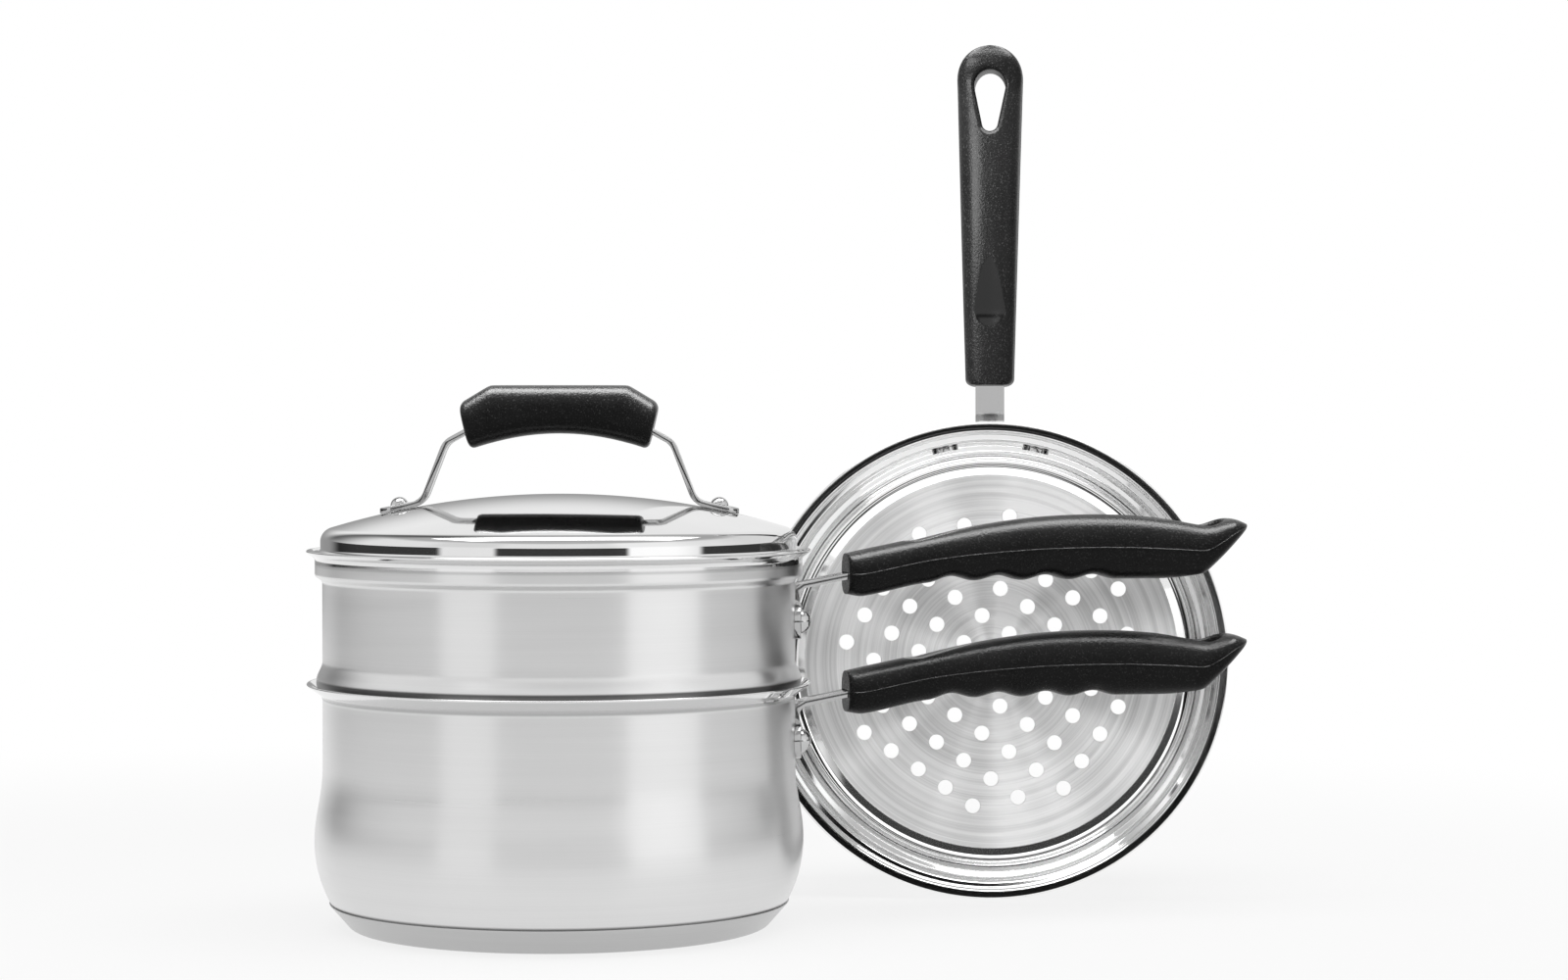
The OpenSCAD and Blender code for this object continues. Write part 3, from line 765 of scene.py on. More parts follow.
@dataclass
class BoilerInsert:
    """The boiler insert, seated in the saucepan."""

    pan: Insert
    body: str = "boiler_insert"
    # Painted shade bands on the shoulder's underside over the saucepan's lip, and under the lid's flange.
    wall_finish: TurnedSteel = TurnedSteel(
        "boiler_insert_steel", lip_z=73.4, painted_shade_bands=((16.0, 24.8, 0.85), (72.4, 73.6, 0.25))
    )

    def make_pan(self) -> bpy.types.Object:
        """Builds the pan over its node."""
        sizes = self.pan.sizes
        place = lift(sizes.stack_z)
        shape = bmesh.new()
        turn_profile(shape, sizes.sheet(self.pan.outer_path(), self.pan.height), sizes.around)
        close_up(shape)
        made = make_piece("boiler_insert_wall", shape, self.wall_finish.material(place), place)
        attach(made, self.body)
        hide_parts("boiler_insert_pan")
        return made


@dataclass
class Steamer:
    """The perforated steamer insert, standing on its side."""

    pan: Insert
    place: Matrix
    body: str = "steamer_insert"
    hole_d: float = 7.0
    pitch: float = 15.3
    turn: float = 56.3
    half: int = 4
    cut: int = 6
    hole_edge: float = 0.3
    hole_steps: int = 28
    floor_from: float = 86.0
    finish: TurnedSteel = TurnedSteel(
        "steamer_steel",
        tone=0.86,
        roughness=0.34,
        anisotropy=0.0,
        groove=0.03,
        streak=0.3,
        floor_r=88.0,
        rings=0.2,
        # painted highlight fans on the floor
        painted_fans=0.22,
    )

    def hole_places(self) -> list[Point]:
        """Middles of the holes."""
        a = math.radians(self.turn)
        span = range(-self.half, self.half + 1)
        cells = [(i, j) for i in span for j in span if abs(i) + abs(j) <= self.cut]
        x_step = (self.pitch * math.cos(a), self.pitch * math.sin(a))
        y_step = (-x_step[1], x_step[0])
        return [(i * x_step[0] + j * y_step[0], i * x_step[1] + j * y_step[1]) for i, j in cells]

    def _plate(self, shape: bmesh.types.BMesh, height: float) -> None:
        """Fills the floor at one height between the wall and the holes."""
        rim = [
            edge
            for edge in shape.edges
            if edge.is_boundary and all(abs(v.co.z - height) < 0.001 for v in edge.verts)
        ]
        bmesh.ops.triangle_fill(shape, use_beauty=True, use_dissolve=False, edges=rim)

    def make_pan(self) -> bpy.types.Object:
        """Builds the pan with its punched floor over its node."""
        sizes, wall = self.pan.sizes, self.pan.sizes.wall
        shape = bmesh.new()
        outer = self.pan.outer_path(self.floor_from)
        turn_profile(shape, sizes.sheet(outer, self.pan.height), sizes.around)
        bore, e = self.hole_d / 2, self.hole_edge
        half_edge = e * (1 - math.sqrt(0.5))
        side = [(bore + e, 0.0), (bore + half_edge, half_edge), (bore, e)]
        side += [(bore, wall - e), (bore + half_edge, wall - half_edge), (bore + e, wall)]
        tube = bmesh.new()
        turn_profile(tube, side, self.hole_steps)
        mesh = bpy.data.meshes.new("hole_tube")
        tube.to_mesh(mesh)
        tube.free()
        for x, y in self.hole_places():
            mesh.transform(Matrix.Translation((x, y, 0.0)))
            shape.from_mesh(mesh)
            mesh.transform(Matrix.Translation((-x, -y, 0.0)))
        bpy.data.meshes.remove(mesh)
        bmesh.ops.remove_doubles(shape, verts=shape.verts[:], dist=0.001)
        self._plate(shape, 0.0)
        self._plate(shape, wall)
        close_up(shape)
        made = make_piece("steamer_wall", shape, self.finish.material(self.place), self.place, 18.0)
        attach(made, self.body)
        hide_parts("steamer_insert_pan")
        return made


@dataclass
class Lid:
    """The domed lid and the arched grip over it."""

    sizes: PanSizes
    pan: Insert
    body: str = "lid"
    sheet_t: float = 0.8
    skirt_r: float = 100.8
    skirt_h: float = 4.0
    dome_r: float = 337.0
    shoulder_r: float = 6.0
    flange_out: float = 2.9
    flange_bend: float = 1.4
    edge_inset: float = 0.25
    cover_finish: BrightSteel = BrightSteel("lid_steel", tone=0.74, roughness=0.05, hairline=0.01)

    @property
    def edge_z(self) -> float:
        """Height of the flange's underside."""
        a = math.radians(self.sizes.lip_slope)
        top = self.sizes.lip_skin(self.pan.height, -1)
        slope_z = top[1] - (top[0] - self.skirt_r - self.flange_out) * math.tan(a)
        return self.sizes.stack_z + slope_z + self.sizes.seat / math.cos(a)

    def cover_path(self) -> Path:
        """The upper skin, from the crown to the flange's edge."""
        skirt_top = self.edge_z + self.sheet_t + self.skirt_h
        bend_r, reach = self.skirt_r - self.shoulder_r, self.dome_r - self.shoulder_r
        meet = math.acos(bend_r / reach)
        turn = math.degrees(meet)
        path = arc((0.0, skirt_top - reach * math.sin(meet)), self.dome_r, 90, turn, 48)
        path += arc((bend_r, skirt_top), self.shoulder_r, turn, 0, 20)[1:]
        top = self.edge_z + self.sheet_t
        corner, edge = (self.skirt_r, top), (self.skirt_r + self.flange_out, top)
        path += straight(path[-1], corner, 5)[:-1]
        return path + rounded((self.skirt_r, skirt_top), corner, edge, self.flange_bend, 10) + [edge]

    @property
    def crown_z(self) -> float:
        """Height of the top of the dome."""
        return self.cover_path()[0][1]

    def make_cover(self) -> bpy.types.Object:
        """Builds the cover over its node."""
        upper = self.cover_path()
        under = offset(upper, -self.sheet_t)
        rim = upper[-1][0]
        middle = (rim - self.edge_inset, (upper[-1][1] + under[-1][1]) / 2)
        edge = [(min(r, rim), z) for r, z in arc(middle, self.sheet_t / 2, 90, -90, 6)]
        shape = bmesh.new()
        turn_profile(shape, upper[:-1] + edge + under[::-1][1:], self.sizes.around)
        close_up(shape)
        made = make_piece("lid_dome", shape, self.cover_finish.material())
        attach(made, self.body)
        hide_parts("lid_cover")
        return made


# Grips


@dataclass(frozen=True)
class SmoothCurve:
    """A smooth curve through points, by cubic pieces that share their slopes."""

    points: tuple[Point, ...]

    def _slope(self, i: int) -> float:
        """Slope of the curve at one point."""
        a, b = self.points[max(i - 1, 0)], self.points[min(i + 1, len(self.points) - 1)]
        return (b[1] - a[1]) / (b[0] - a[0])

    def at(self, x: float) -> float:
        """Height of the curve at x."""
        i = 0
        while i < len(self.points) - 2 and x >= self.points[i + 1][0]:
            i += 1
        p, q = self.points[i], self.points[i + 1]
        h = q[0] - p[0]
        t = (x - p[0]) / h
        return (
            p[1] * (1 + 2 * t) * (1 - t) ** 2
            + h * self._slope(i) * t * (1 - t) ** 2
            + q[1] * t * t * (3 - 2 * t)
            + h * self._slope(i + 1) * t * t * (t - 1)
        )


def section(
    half_width: float,
    top: float,
    mid: float,
    under: float,
    square: float,
    points: int,
    ridge: float = 0.0,
) -> Path:
    """A soft-cornered section, evenly divided, with a fine parting ridge on both sides.

    Args:
        half_width: half its width.
        top: its highest place.
        mid: height of its widest place.
        under: its lowest place.
        square: 2 for an ellipse, more for squarer corners.
        points: divisions of each quarter.
        ridge: how far the parting ridge stands out.

    Returns:
        Points as (side, height), anticlockwise from the right side.
    """
    half = (top - under) / 2
    fine = 160
    power = 2 / square
    turns = [math.pi / 2 * i / fine for i in range(fine)]
    dense = [(math.cos(a) ** power, math.sin(a) ** power) for a in turns] + [(0.0, 1.0)]
    lengths = [0.0]
    for (a, b), (c, d) in zip(dense, dense[1:]):
        lengths.append(lengths[-1] + math.hypot((c - a) * half_width, (d - b) * half))
    quarter: Path = []
    j = 0
    for k in range(points + 1):
        goal = lengths[-1] * k / points
        while j < fine - 1 and lengths[j + 1] < goal:
            j += 1
        share = (goal - lengths[j]) / (lengths[j + 1] - lengths[j])
        a, b = dense[j], dense[j + 1]
        quarter.append((a[0] + (b[0] - a[0]) * share, a[1] + (b[1] - a[1]) * share))
    beside = min(RIDGE_FOOT / max(half, RIDGE_FOOT), quarter[1][1] / 2)
    quarter = [(1.0, 0.0), (1.0, beside)] + quarter[1:]
    full = quarter + [(-a, b) for a, b in quarter[-2::-1]]
    full = full + [(a, -b) for a, b in full[-2:0:-1]]
    ring = [(half_width * a, mid + (top - mid if b > 0 else mid - under) * b) for a, b in full]
    last = len(quarter) - 1
    for place, sign in ((0, 1.0), (2 * last, -1.0)):
        ring[place] = (ring[place][0] + sign * ridge, ring[place][1])
    return ring


def loft(shape: bmesh.types.BMesh, rings: Sequence[Sequence[Vector]]) -> None:
    """Skins closed rings of equal count by extruding the first one, and closes both ends."""
    circle = bmesh.ops.create_circle(shape, segments=len(rings[0]), radius=1.0)["verts"]
    for vert, spot in zip(circle, rings[0]):
        vert.co = spot
    front = circle
    edges = [shape.edges.get((a, b)) for a, b in zip(circle, circle[1:] + circle[:1])]
    bmesh.ops.contextual_create(shape, geom=edges)
    for ring in rings[1:]:
        made = bmesh.ops.extrude_edge_only(shape, edges=edges)["geom"]
        pairs = {}
        for vert in (item for item in made if isinstance(item, bmesh.types.BMVert)):
            for other in (edge.other_vert(vert) for edge in vert.link_edges):
                if other in front:
                    pairs[other] = vert
        front = [pairs[v] for v in front]
        for vert, spot in zip(front, ring):
            vert.co = spot
        edges = [shape.edges.get((a, b)) for a, b in zip(front, front[1:] + front[:1])]
    bmesh.ops.contextual_create(shape, geom=edges)


def cut(piece: bpy.types.Object, shape: bmesh.types.BMesh, sharp: float = 32.0) -> None:
    """Cuts closed shapes out of a piece and keeps the result in its mesh.

    Args:
        piece: the object, whose mesh is in metres.
        shape: closed shapes in metres that don't meet each other. It is freed.
        sharp: edges bent more than this, in degrees, stay sharp.
    """
    mesh = bpy.data.meshes.new("cutter")
    bmesh.ops.recalc_face_normals(shape, faces=shape.faces[:])
    shape.to_mesh(mesh)
    shape.free()
    cutter = bpy.data.objects.new("cutter", mesh)
    bpy.context.scene.collection.objects.link(cutter)
    boolean = piece.modifiers.new("cut", "BOOLEAN")
    boolean.operation = "DIFFERENCE"
    boolean.solver = "EXACT"
    boolean.object = cutter
    bpy.context.view_layer.update()
    graph = bpy.context.evaluated_depsgraph_get()
    made = bpy.data.meshes.new_from_object(piece.evaluated_get(graph), depsgraph=graph)
    piece.modifiers.clear()
    old, piece.data = piece.data, made
    made.name = old.name
    bpy.data.meshes.remove(old)
    bpy.data.objects.remove(cutter)
    bpy.data.meshes.remove(mesh)
    smooth(piece.data, sharp)


@dataclass(frozen=True)
class GripShape:
    """The contoured form of the long grips.

    Its sizes are those of the CAD part, but the front end is a little fuller and the hang hole's rim wider.
    """

    front: float = 124.0
    rise: float = 18.2
    width_front: float = 21.4
    width_tail: float = 30.0
    edge: float = 3.0
    square: float = 2.8
    finger_depth: float = 2.2
    fingers: int = 4
    finger_from: float = 0.196
    finger_to: float = 0.667
    hang_w: float = 14.0
    hang_len: float = 28.0
    hang_inset: float = 11.0
    hang_rim: float = 2.4
    thumb_w: float = 14.0
    thumb_len: float = 31.0
    thumb_inset: float = 26.0
    thumb_depth: float = 1.5
    ridge: float = 0.22
    strap_slope: float = 11.0
    strap_t: float = 2.5
    strap_w: float = 13.0
    tang_len: float = 36.0
    screw_inset: float = 24.0
    screw_land: float = 2.0
    screw_head_d: float = 7.6
    screw_play: float = 0.2
    top: SmoothCurve = SmoothCurve(
        (
            (0.0, 9.6),
            (0.05, 11.5),
            (0.18, 16.1),
            (0.35, 22.0),
            (0.5, 25.2),
            (0.67, 25.7),
            (0.8, 23.8),
            (0.89, 21.6),
            (0.955, 23.8),
            (1.0, 21.3),
        )
    )
    under: SmoothCurve = SmoothCurve(
        (
            (0.0, -7.9),
            (0.04, -8.8),
            (0.2, -3.3),
            (0.42, -2.5),
            (0.67, -2.3),
            (0.865, -1.8),
            (0.89, 0.4),
            (0.985, 17.5),
            (1.0, 20.4),
        )
    )

    def hollow(self, u: float) -> float:
        """Depth of the finger hollows at a share of the length."""
        if not self.finger_from < u < self.finger_to:
            return 0.0
        share = (u - self.finger_from) / (self.finger_to - self.finger_from)
        return self.finger_depth * (1 - math.cos(math.tau * self.fingers * share)) / 2

    def half_width(self, s: float, length: float) -> float:
        """Half the width at a distance from the front end."""
        w = (self.width_front + (self.width_tail - self.width_front) * s / length) / 2
        tail = self.width_tail / 2
        over = max(0.0, s - (length - tail)) / tail
        front = max(0.0, self.edge - s)
        rounding = self.edge - math.sqrt(self.edge**2 - front**2)
        return w * math.sqrt(max(0.0, 1 - over * over)) - rounding

    def thumb_bowl(self) -> float:
        """Radius of the bowl that leaves the thumb recess."""
        return ((self.thumb_w / 2) ** 2 + self.thumb_depth**2) / (2 * self.thumb_depth)

    def thumb(self, s: float, y: float) -> float:
        """Depth of the thumb recess at a place on top of the grip."""
        start = self.thumb_inset + self.thumb_w / 2
        end = self.thumb_inset + self.thumb_len
        fall = self.thumb_depth * (1 - max(0.0, min(1.0, (s - start) / (end - start))))
        behind = min(0.0, s - start)
        return max(0.0, fall - (behind * behind + y * y) / (2 * self.thumb_bowl()))

    def heights(self, s: float, length: float) -> Point:
        """Upper and lower height at a distance from the front end."""
        u = s / length
        return self.top.at(u), self.under.at(u) + self.hollow(u)

    def skin(self, s: float, y: float, length: float, upper: bool) -> float:
        """Height of the upper or lower skin above a place in plan."""
        top, under = self.heights(s, length)
        w = self.half_width(s, length)
        share = (1 - min(1.0, abs(y) / w) ** self.square) ** (1 / self.square)
        half = (top - under) / 2 * share
        return (top + under) / 2 + (half if upper else -half)

    def stations(self, length: float) -> list[float]:
        """Distances of the sections from the front end."""
        tail = self.width_tail / 2
        first = [self.edge * (1 - math.cos(math.pi / 2 * i / 8)) for i in range(9)]
        run = length - self.edge - tail
        count = round(run / 1.25)
        middle = [self.edge + run * i / count for i in range(1, count + 1)]
        last = [length - tail + tail * math.sin(math.radians(87.0) * i / 26) for i in range(1, 27)]
        return first + middle + last


@dataclass
class LongGrip:
    """One black grip on its strap."""

    name: str
    node: str
    body: str
    place: Matrix
    length: float
    shape: GripShape = field(default_factory=GripShape)
    quarter: int = 26

    def _rings(self) -> list[list[Vector]]:
        """Sections of the grip from its front end to its tail."""
        g = self.shape
        rings = []
        for s in g.stations(self.length):
            top, under = g.heights(s, self.length)
            middle = (top + under - g.hollow(s / self.length)) / 2
            half = g.half_width(s, self.length)
            spots = []
            for y, z in section(half, top, middle, under, g.square, self.quarter, g.ridge):
                drop = g.thumb(s, y) if z > middle else 0.0
                spots.append(Vector((g.front + s, y, g.rise + z - drop)))
            rings.append(spots)
        return rings

    def _hang_outline(self, grow: float) -> list[Point]:
        """The hang hole in plan, grown by a distance, as (distance from the front, side)."""
        g = self.shape
        big, small = g.hang_w / 2 + grow, g.hang_w / 4 + grow
        apart = g.hang_len - g.hang_w * 0.75
        wide = self.length - g.hang_inset - g.hang_w / 2
        lean = math.degrees(math.asin((big - small) / apart))
        points = arc((wide, 0.0), big, -90 - lean, 90 + lean, 36)
        return points + arc((wide - apart, 0.0), small, 90 + lean, 270 - lean, 24)

    def _add_hang_hole(self, shape: bmesh.types.BMesh) -> None:
        """Adds the hang hole with its rounded rims, which follow both skins of the grip."""
        g = self.shape
        levels: list[tuple[float, float]] = [(g.hang_rim + 1.2, -1.0)]
        for i in range(1, 7):
            a = math.pi / 2 * i / 6
            levels.append((g.hang_rim * (1 - math.sin(a)), g.hang_rim * (1 - math.cos(a))))
        rings = []
        for upper, order in ((True, levels), (False, levels[::-1])):
            for grow, depth in order:
                ring = []
                for s, y in self._hang_outline(grow):
                    base = g.skin(min(s, self.length - 2.0), y * 0.92, self.length, upper)
                    z = base - depth if upper else base + depth
                    ring.append(Vector((g.front + s, y, g.rise + z)))
                rings.append(ring)
        heights = [spot.z for ring in rings for spot in ring]
        for place, z in ((0, max(heights) + 2.0), (len(rings), min(heights) - 2.0)):
            nearest = rings[0] if place == 0 else rings[-1]
            rings.insert(place + (place > 0), [Vector((spot.x, spot.y, z)) for spot in nearest])
        loft(shape, rings)

    def _add_slot(self, shape: bmesh.types.BMesh) -> None:
        """Adds the slot that the strap enters."""
        g = self.shape
        block = bmesh.ops.create_cube(shape, size=1.0)["verts"]
        size = Matrix.Diagonal((g.tang_len + 3.0, g.strap_w + 0.5, g.strap_t + 0.5, 1.0))
        move = Matrix.Translation(((g.tang_len - 1.0) / 2, 0.0, 0.0))
        lean = Matrix.Rotation(-math.radians(g.strap_slope), 4, "Y")
        spot = Matrix.Translation((g.front, 0.0, g.rise))
        bmesh.ops.transform(shape, matrix=spot @ lean @ move @ size, verts=block)

    def _add_screw_well(self, shape: bmesh.types.BMesh) -> None:
        """Adds the well under the screw's head."""
        g = self.shape
        x = g.front + g.screw_inset
        strap_z = g.screw_inset * math.tan(math.radians(g.strap_slope)) - g.strap_t / 2
        seat = g.rise + strap_z - g.screw_land
        bore, low = g.screw_head_d / 2 + g.screw_play, seat - 30.0
        turn_profile(shape, [(0.0, seat), (bore, seat), (bore, low), (0.0, low)], 40, (x, 0.0))

    def build(self, finish: "Phenolic") -> bpy.types.Object:
        """Builds the grip over its node."""
        shape = bmesh.new()
        loft(shape, self._rings())
        close_up(shape)
        recess = (self.shape.front + self.shape.thumb_inset + self.shape.thumb_w / 2, self.shape)
        made = make_piece(self.name, shape, finish.material(self.place, recess), self.place)
        holes = bmesh.new()
        self._add_hang_hole(holes)
        self._add_slot(holes)
        self._add_screw_well(holes)
        bmesh.ops.remove_doubles(holes, verts=holes.verts[:], dist=0.001)
        to_metres(holes, self.place)
        cut(made, holes)
        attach(made, self.body)
        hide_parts(self.node)
        return made


@dataclass
class LidGrip:
    """The arched grip over the lid."""

    crown_z: float
    turn: float = -11.0
    half: float = 42.4
    width: float = 23.0
    top_h: float = 46.1
    arch_h: float = 25.6
    flat: float = 29.0
    drop: float = 7.9
    foot: float = 37.8
    foot_h: float = 18.9
    edge: float = 2.5
    square: float = 2.7
    soften: float = 0.8
    quarter: int = 22

    def _top(self, x: float) -> float:
        """Height of the top, with its two bends a little rounded."""
        over = abs(x) - self.flat
        slope = self.drop / (self.half - self.flat)
        return self.top_h - slope * (over + math.hypot(over, self.soften)) / 2

    def _ring(self, x: float, inset: float) -> list[Vector]:
        """One leaning section."""
        end_h = self.top_h - self.drop - self.foot_h
        lean = (self.half - self.foot) / end_h * x / self.half
        top = self._top(x) - inset
        under = self.arch_h - (self.arch_h - self.foot_h) * (x / self.half) ** 2 + inset
        centre = x * (self.half + self.foot) / 2 / self.half
        middle = (top + under) / 2
        ring = section(self.width / 2 - inset, top, middle, under, self.square, self.quarter)
        return [Vector((centre + lean * (z - middle), y, self.crown_z + z)) for y, z in ring]

    def build(self, finish: "Phenolic") -> bpy.types.Object:
        """Builds the grip over its node."""
        body = self.half - self.edge
        turns = [math.pi / 2 * i / 8 for i in range(9)]
        start = [(-body - self.edge * math.cos(a), self.edge * (1 - math.sin(a))) for a in turns]
        middle = [(-body + 2 * body * i / 72, 0.0) for i in range(1, 72)]
        end = [(-x, inset) for x, inset in start[::-1]]
        shape = bmesh.new()
        loft(shape, [self._ring(x, inset) for x, inset in start + middle + end])
        close_up(shape)
        place = Matrix.Rotation(math.radians(self.turn), 4, "Z")
        made = make_piece("lid_arched_grip", shape, finish.material(place), place)
        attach(made, "lid")
        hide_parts("lid_grip")
        return made


# Small steel pieces


@dataclass
class PressedStrap:
    """A bracket or strap that keeps its CAD shape, with its sheared edges broken."""

    name: str
    node: str
    body: str
    edge: float = 0.35

    def build(self, source: bpy.types.Object, finish: bpy.types.Material) -> bpy.types.Object:
        """Builds the piece from a merged copy of its node.

        Args:
            source: the node's object.
            finish: its material.

        Returns:
            The new object.
        """
        shape = bmesh.new()
        shape.from_mesh(source.data)
        matrix = Matrix.Diagonal((1 / MM, 1 / MM, 1 / MM, 1.0))
        bmesh.ops.transform(shape, matrix=matrix, verts=shape.verts[:])
        bmesh.ops.remove_doubles(shape, verts=shape.verts[:], dist=0.002)
        bmesh.ops.dissolve_limit(
            shape,
            angle_limit=math.radians(1.0),
            verts=shape.verts[:],
            edges=shape.edges[:],
            delimit=set(),
        )
        bmesh.ops.recalc_face_normals(shape, faces=shape.faces[:])
        least = math.radians(50)
        folds = [edge for edge in shape.edges if len(edge.link_faces) == 2]
        corners = [edge for edge in folds if edge.calc_face_angle(0.0) > least]
        bmesh.ops.bevel(
            shape,
            geom=corners,
            offset=self.edge,
            offset_type="OFFSET",
            affect="EDGES",
            segments=3,
            profile=0.5,
            material=-1,
            clamp_overlap=True,
        )
        made = make_piece(self.name, shape, finish, sharp=35.0)
        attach(made, self.body)
        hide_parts(self.node)
        return made


def dress(node: bpy.types.Object, finish: bpy.types.Material) -> None:
    """Gives a CAD node that stays its finish."""
    node.data.materials.clear()
    node.data.materials.append(finish)


# Studio


class Corner(Enum):
    """Where a light stands, as its turn from the camera round the object, in degrees."""

    LEFT = -41.0
    RIGHT = 53.0


@dataclass(frozen=True)
class SoftBox:
    """A large soft light that stands upright and looks at the object."""

    corner: Corner
    width: float
    height: float
    middle_z: float
    distance: float
    power: float


@dataclass(frozen=True)
class Accent:
    """A small light for a few pieces, by its direction from them."""

    name: str
    turn: float
    rise: float
    width: float
    height: float
    power: float
    target: tuple[float, float, float]
    pieces: tuple[str, ...]
    distance: float = 1.6


@dataclass(frozen=True)
class BrightWindow:
    """A bright window of the world, and the stretch in which the dark band stops, by azimuth in radians."""

    start: Point
    end: Point
    gap_start: Point
    gap_end: Point
    glow: float


@dataclass
class Studio:
    """Pale floor, soft light and the photograph's viewpoint."""

    camera_turn: float = -11.0
    camera_at: tuple[float, float, float] = (-0.2000, -1.5280, 0.2180)
    pitch: float = -1.25
    lens: float = 83.25
    boxes: tuple[SoftBox, ...] = (
        SoftBox(Corner.LEFT, 1.0, 1.7, 0.75, 1.9, 4.5),
        SoftBox(Corner.RIGHT, 1.3, 1.7, 0.75, 1.9, 6.6),
    )
    target: Point = (0.06, 0.0)
    overhead_size: Point = (2.6, 1.0)
    overhead_power: float = 26.0
    overhead_at: tuple[float, float, float] = (0.06, -0.1, 2.0)
    windows: tuple[BrightWindow, BrightWindow] = (
        BrightWindow((-1.2, -0.95), (-0.54, -0.36), (-1.0, -0.92), (-0.5, -0.44), 1.03),
        BrightWindow((0.45, 0.66), (1.0, 1.45), (0.6, 0.66), (1.26, 1.34), 1.33),
    )
    right_dim: float = 0.1
    left_dim: float = 0.66
    band_low: Point = (-0.1, -0.07)
    band_high: Point = (0.08, 0.11)
    band_dark: float = 0.95
    ambient: float = 0.4
    floor_r: float = 2200.0
    floor_drop: float = 0.1
    floor_fade: Point = (0.35, 0.9)

    def make_camera(self) -> bpy.types.Object:
        """Places the camera."""
        data = bpy.data.cameras.new("camera")
        data.lens, data.sensor_width, data.clip_start = self.lens, 36.0, 0.01
        made = bpy.data.objects.new("camera", data)
        made.location = self.camera_at
        turn = math.radians(self.camera_turn)
        made.rotation_euler = Euler((math.radians(90 + self.pitch), 0.0, turn), "XYZ")
        bpy.context.scene.collection.objects.link(made)
        bpy.context.scene.camera = made
        return made

    @staticmethod
    def _area(name: str, width: float, height: float, power: float) -> bpy.types.Object:
        """Adds an area light that the camera doesn't see."""
        data = bpy.data.lights.new(name, "AREA")
        data.shape, data.size, data.size_y, data.energy = "RECTANGLE", width, height, power
        made = bpy.data.objects.new(name, data)
        made.visible_camera = False
        bpy.context.scene.collection.objects.link(made)
        return made

    def _outward(self, turn: float, rise: float = 0.0) -> Vector:
        """Unit vector by its turn from the camera and its rise, in degrees."""
        a, b = math.radians(self.camera_turn + turn - 90), math.radians(rise)
        return Vector((math.cos(a) * math.cos(b), math.sin(a) * math.cos(b), math.sin(b)))

    def make_lights(self) -> None:
        """Places the soft boxes and the light overhead."""
        for box in self.boxes:
            name = f"soft_box_{box.corner.name.lower()}"
            made = self._area(name, box.width, box.height, box.power)
            out = self._outward(box.corner.value)
            made.location = Vector((*self.target, box.middle_z)) + out * box.distance
            made.rotation_euler = out.to_track_quat("Z", "Y").to_euler()
            made.visible_glossy = False
        self._area("overhead", *self.overhead_size, self.overhead_power).location = self.overhead_at

    def make_accent(self, accent: Accent, lit: Sequence[bpy.types.Object]) -> None:
        """Places a light that only some pieces receive.

        Args:
            accent: the light.
            lit: the pieces that it lights.
        """
        made = self._area(accent.name, accent.width, accent.height, accent.power)
        out = self._outward(accent.turn, accent.rise)
        made.location = Vector(accent.target) + out * accent.distance
        made.rotation_euler = out.to_track_quat("Z", "Y").to_euler()
        receivers = bpy.data.collections.new(accent.name)
        for piece in lit:
            receivers.objects.link(piece)
        made.light_linking.receiver_collection = receivers
        made.light_linking.blocker_collection = receivers

    def make_world(self) -> None:
        """White to the camera, and to metal a studio with two bright windows and a dark band."""
        world = bpy.data.worlds.new("studio")
        bpy.context.scene.world = world
        world.use_nodes = True
        t = NodeTree(world.node_tree)
        path = t.node("ShaderNodeLightPath")
        camera = t.out(path, "Is Camera Ray")
        glossy = t.maths("MAXIMUM", t.out(path, "Is Glossy Ray"), t.out(path, "Is Transmission Ray"))
        coords = t.node("ShaderNodeTexCoord")
        split = t.node("ShaderNodeSeparateXYZ", None, {0: t.out(coords, "Generated")})
        rise, across, along = (t.out(split, axis) for axis in "ZXY")
        turn = math.radians(self.camera_turn)
        ahead = along * math.cos(turn) - across * math.sin(turn)
        side = across * math.cos(turn) + along * math.sin(turn)
        azimuth = t.maths("ARCTAN2", side, 0 - ahead)
        away = t.maths("ABSOLUTE", azimuth)
        right = t.ease(azimuth, 1.4, 2.1) * self.right_dim
        left = t.ease(0 - azimuth, 1.75, 2.5) * self.left_dim
        behind = t.ease(away, 2.45, 2.75)
        dim = (right + left) * (1 + 0.3 * t.ease(rise, 0.05, 0.3))
        dim = dim * (1 - behind * t.ease(rise, 0.03, 0.4))
        low = 1 - t.ease(rise, 0.6, 0.75)
        shares = [t.within(azimuth, window.start, window.end) * low for window in self.windows]
        gaps = [t.within(azimuth, window.gap_start, window.gap_end) for window in self.windows]
        boxes = t.maths("MAXIMUM", *shares)
        band = t.within(rise, self.band_low, self.band_high) * (1 - t.ease(away, 2.2, 2.5))
        band = band * (1 - t.maths("MAXIMUM", *gaps))
        bright = shares[0] * self.windows[0].glow + shares[1] * self.windows[1].glow
        bright = bright * (1 - 0.15 * t.ease(rise, 0.08, 0.3))
        seen = (1 - dim) * (0.55 + 0.45 * low) * (1 - boxes) + bright
        seen = seen * (1 - self.band_dark * band)
        glow = glossy * seen + (1 - glossy) * self.ambient
        strength = camera + (1 - camera) * glow
        inputs = {"Color": (1.0, 1.0, 1.0, 1.0), "Strength": strength}
        background = t.node("ShaderNodeBackground", None, inputs)
        t.node("ShaderNodeOutputWorld", None, {"Surface": t.out(background)})

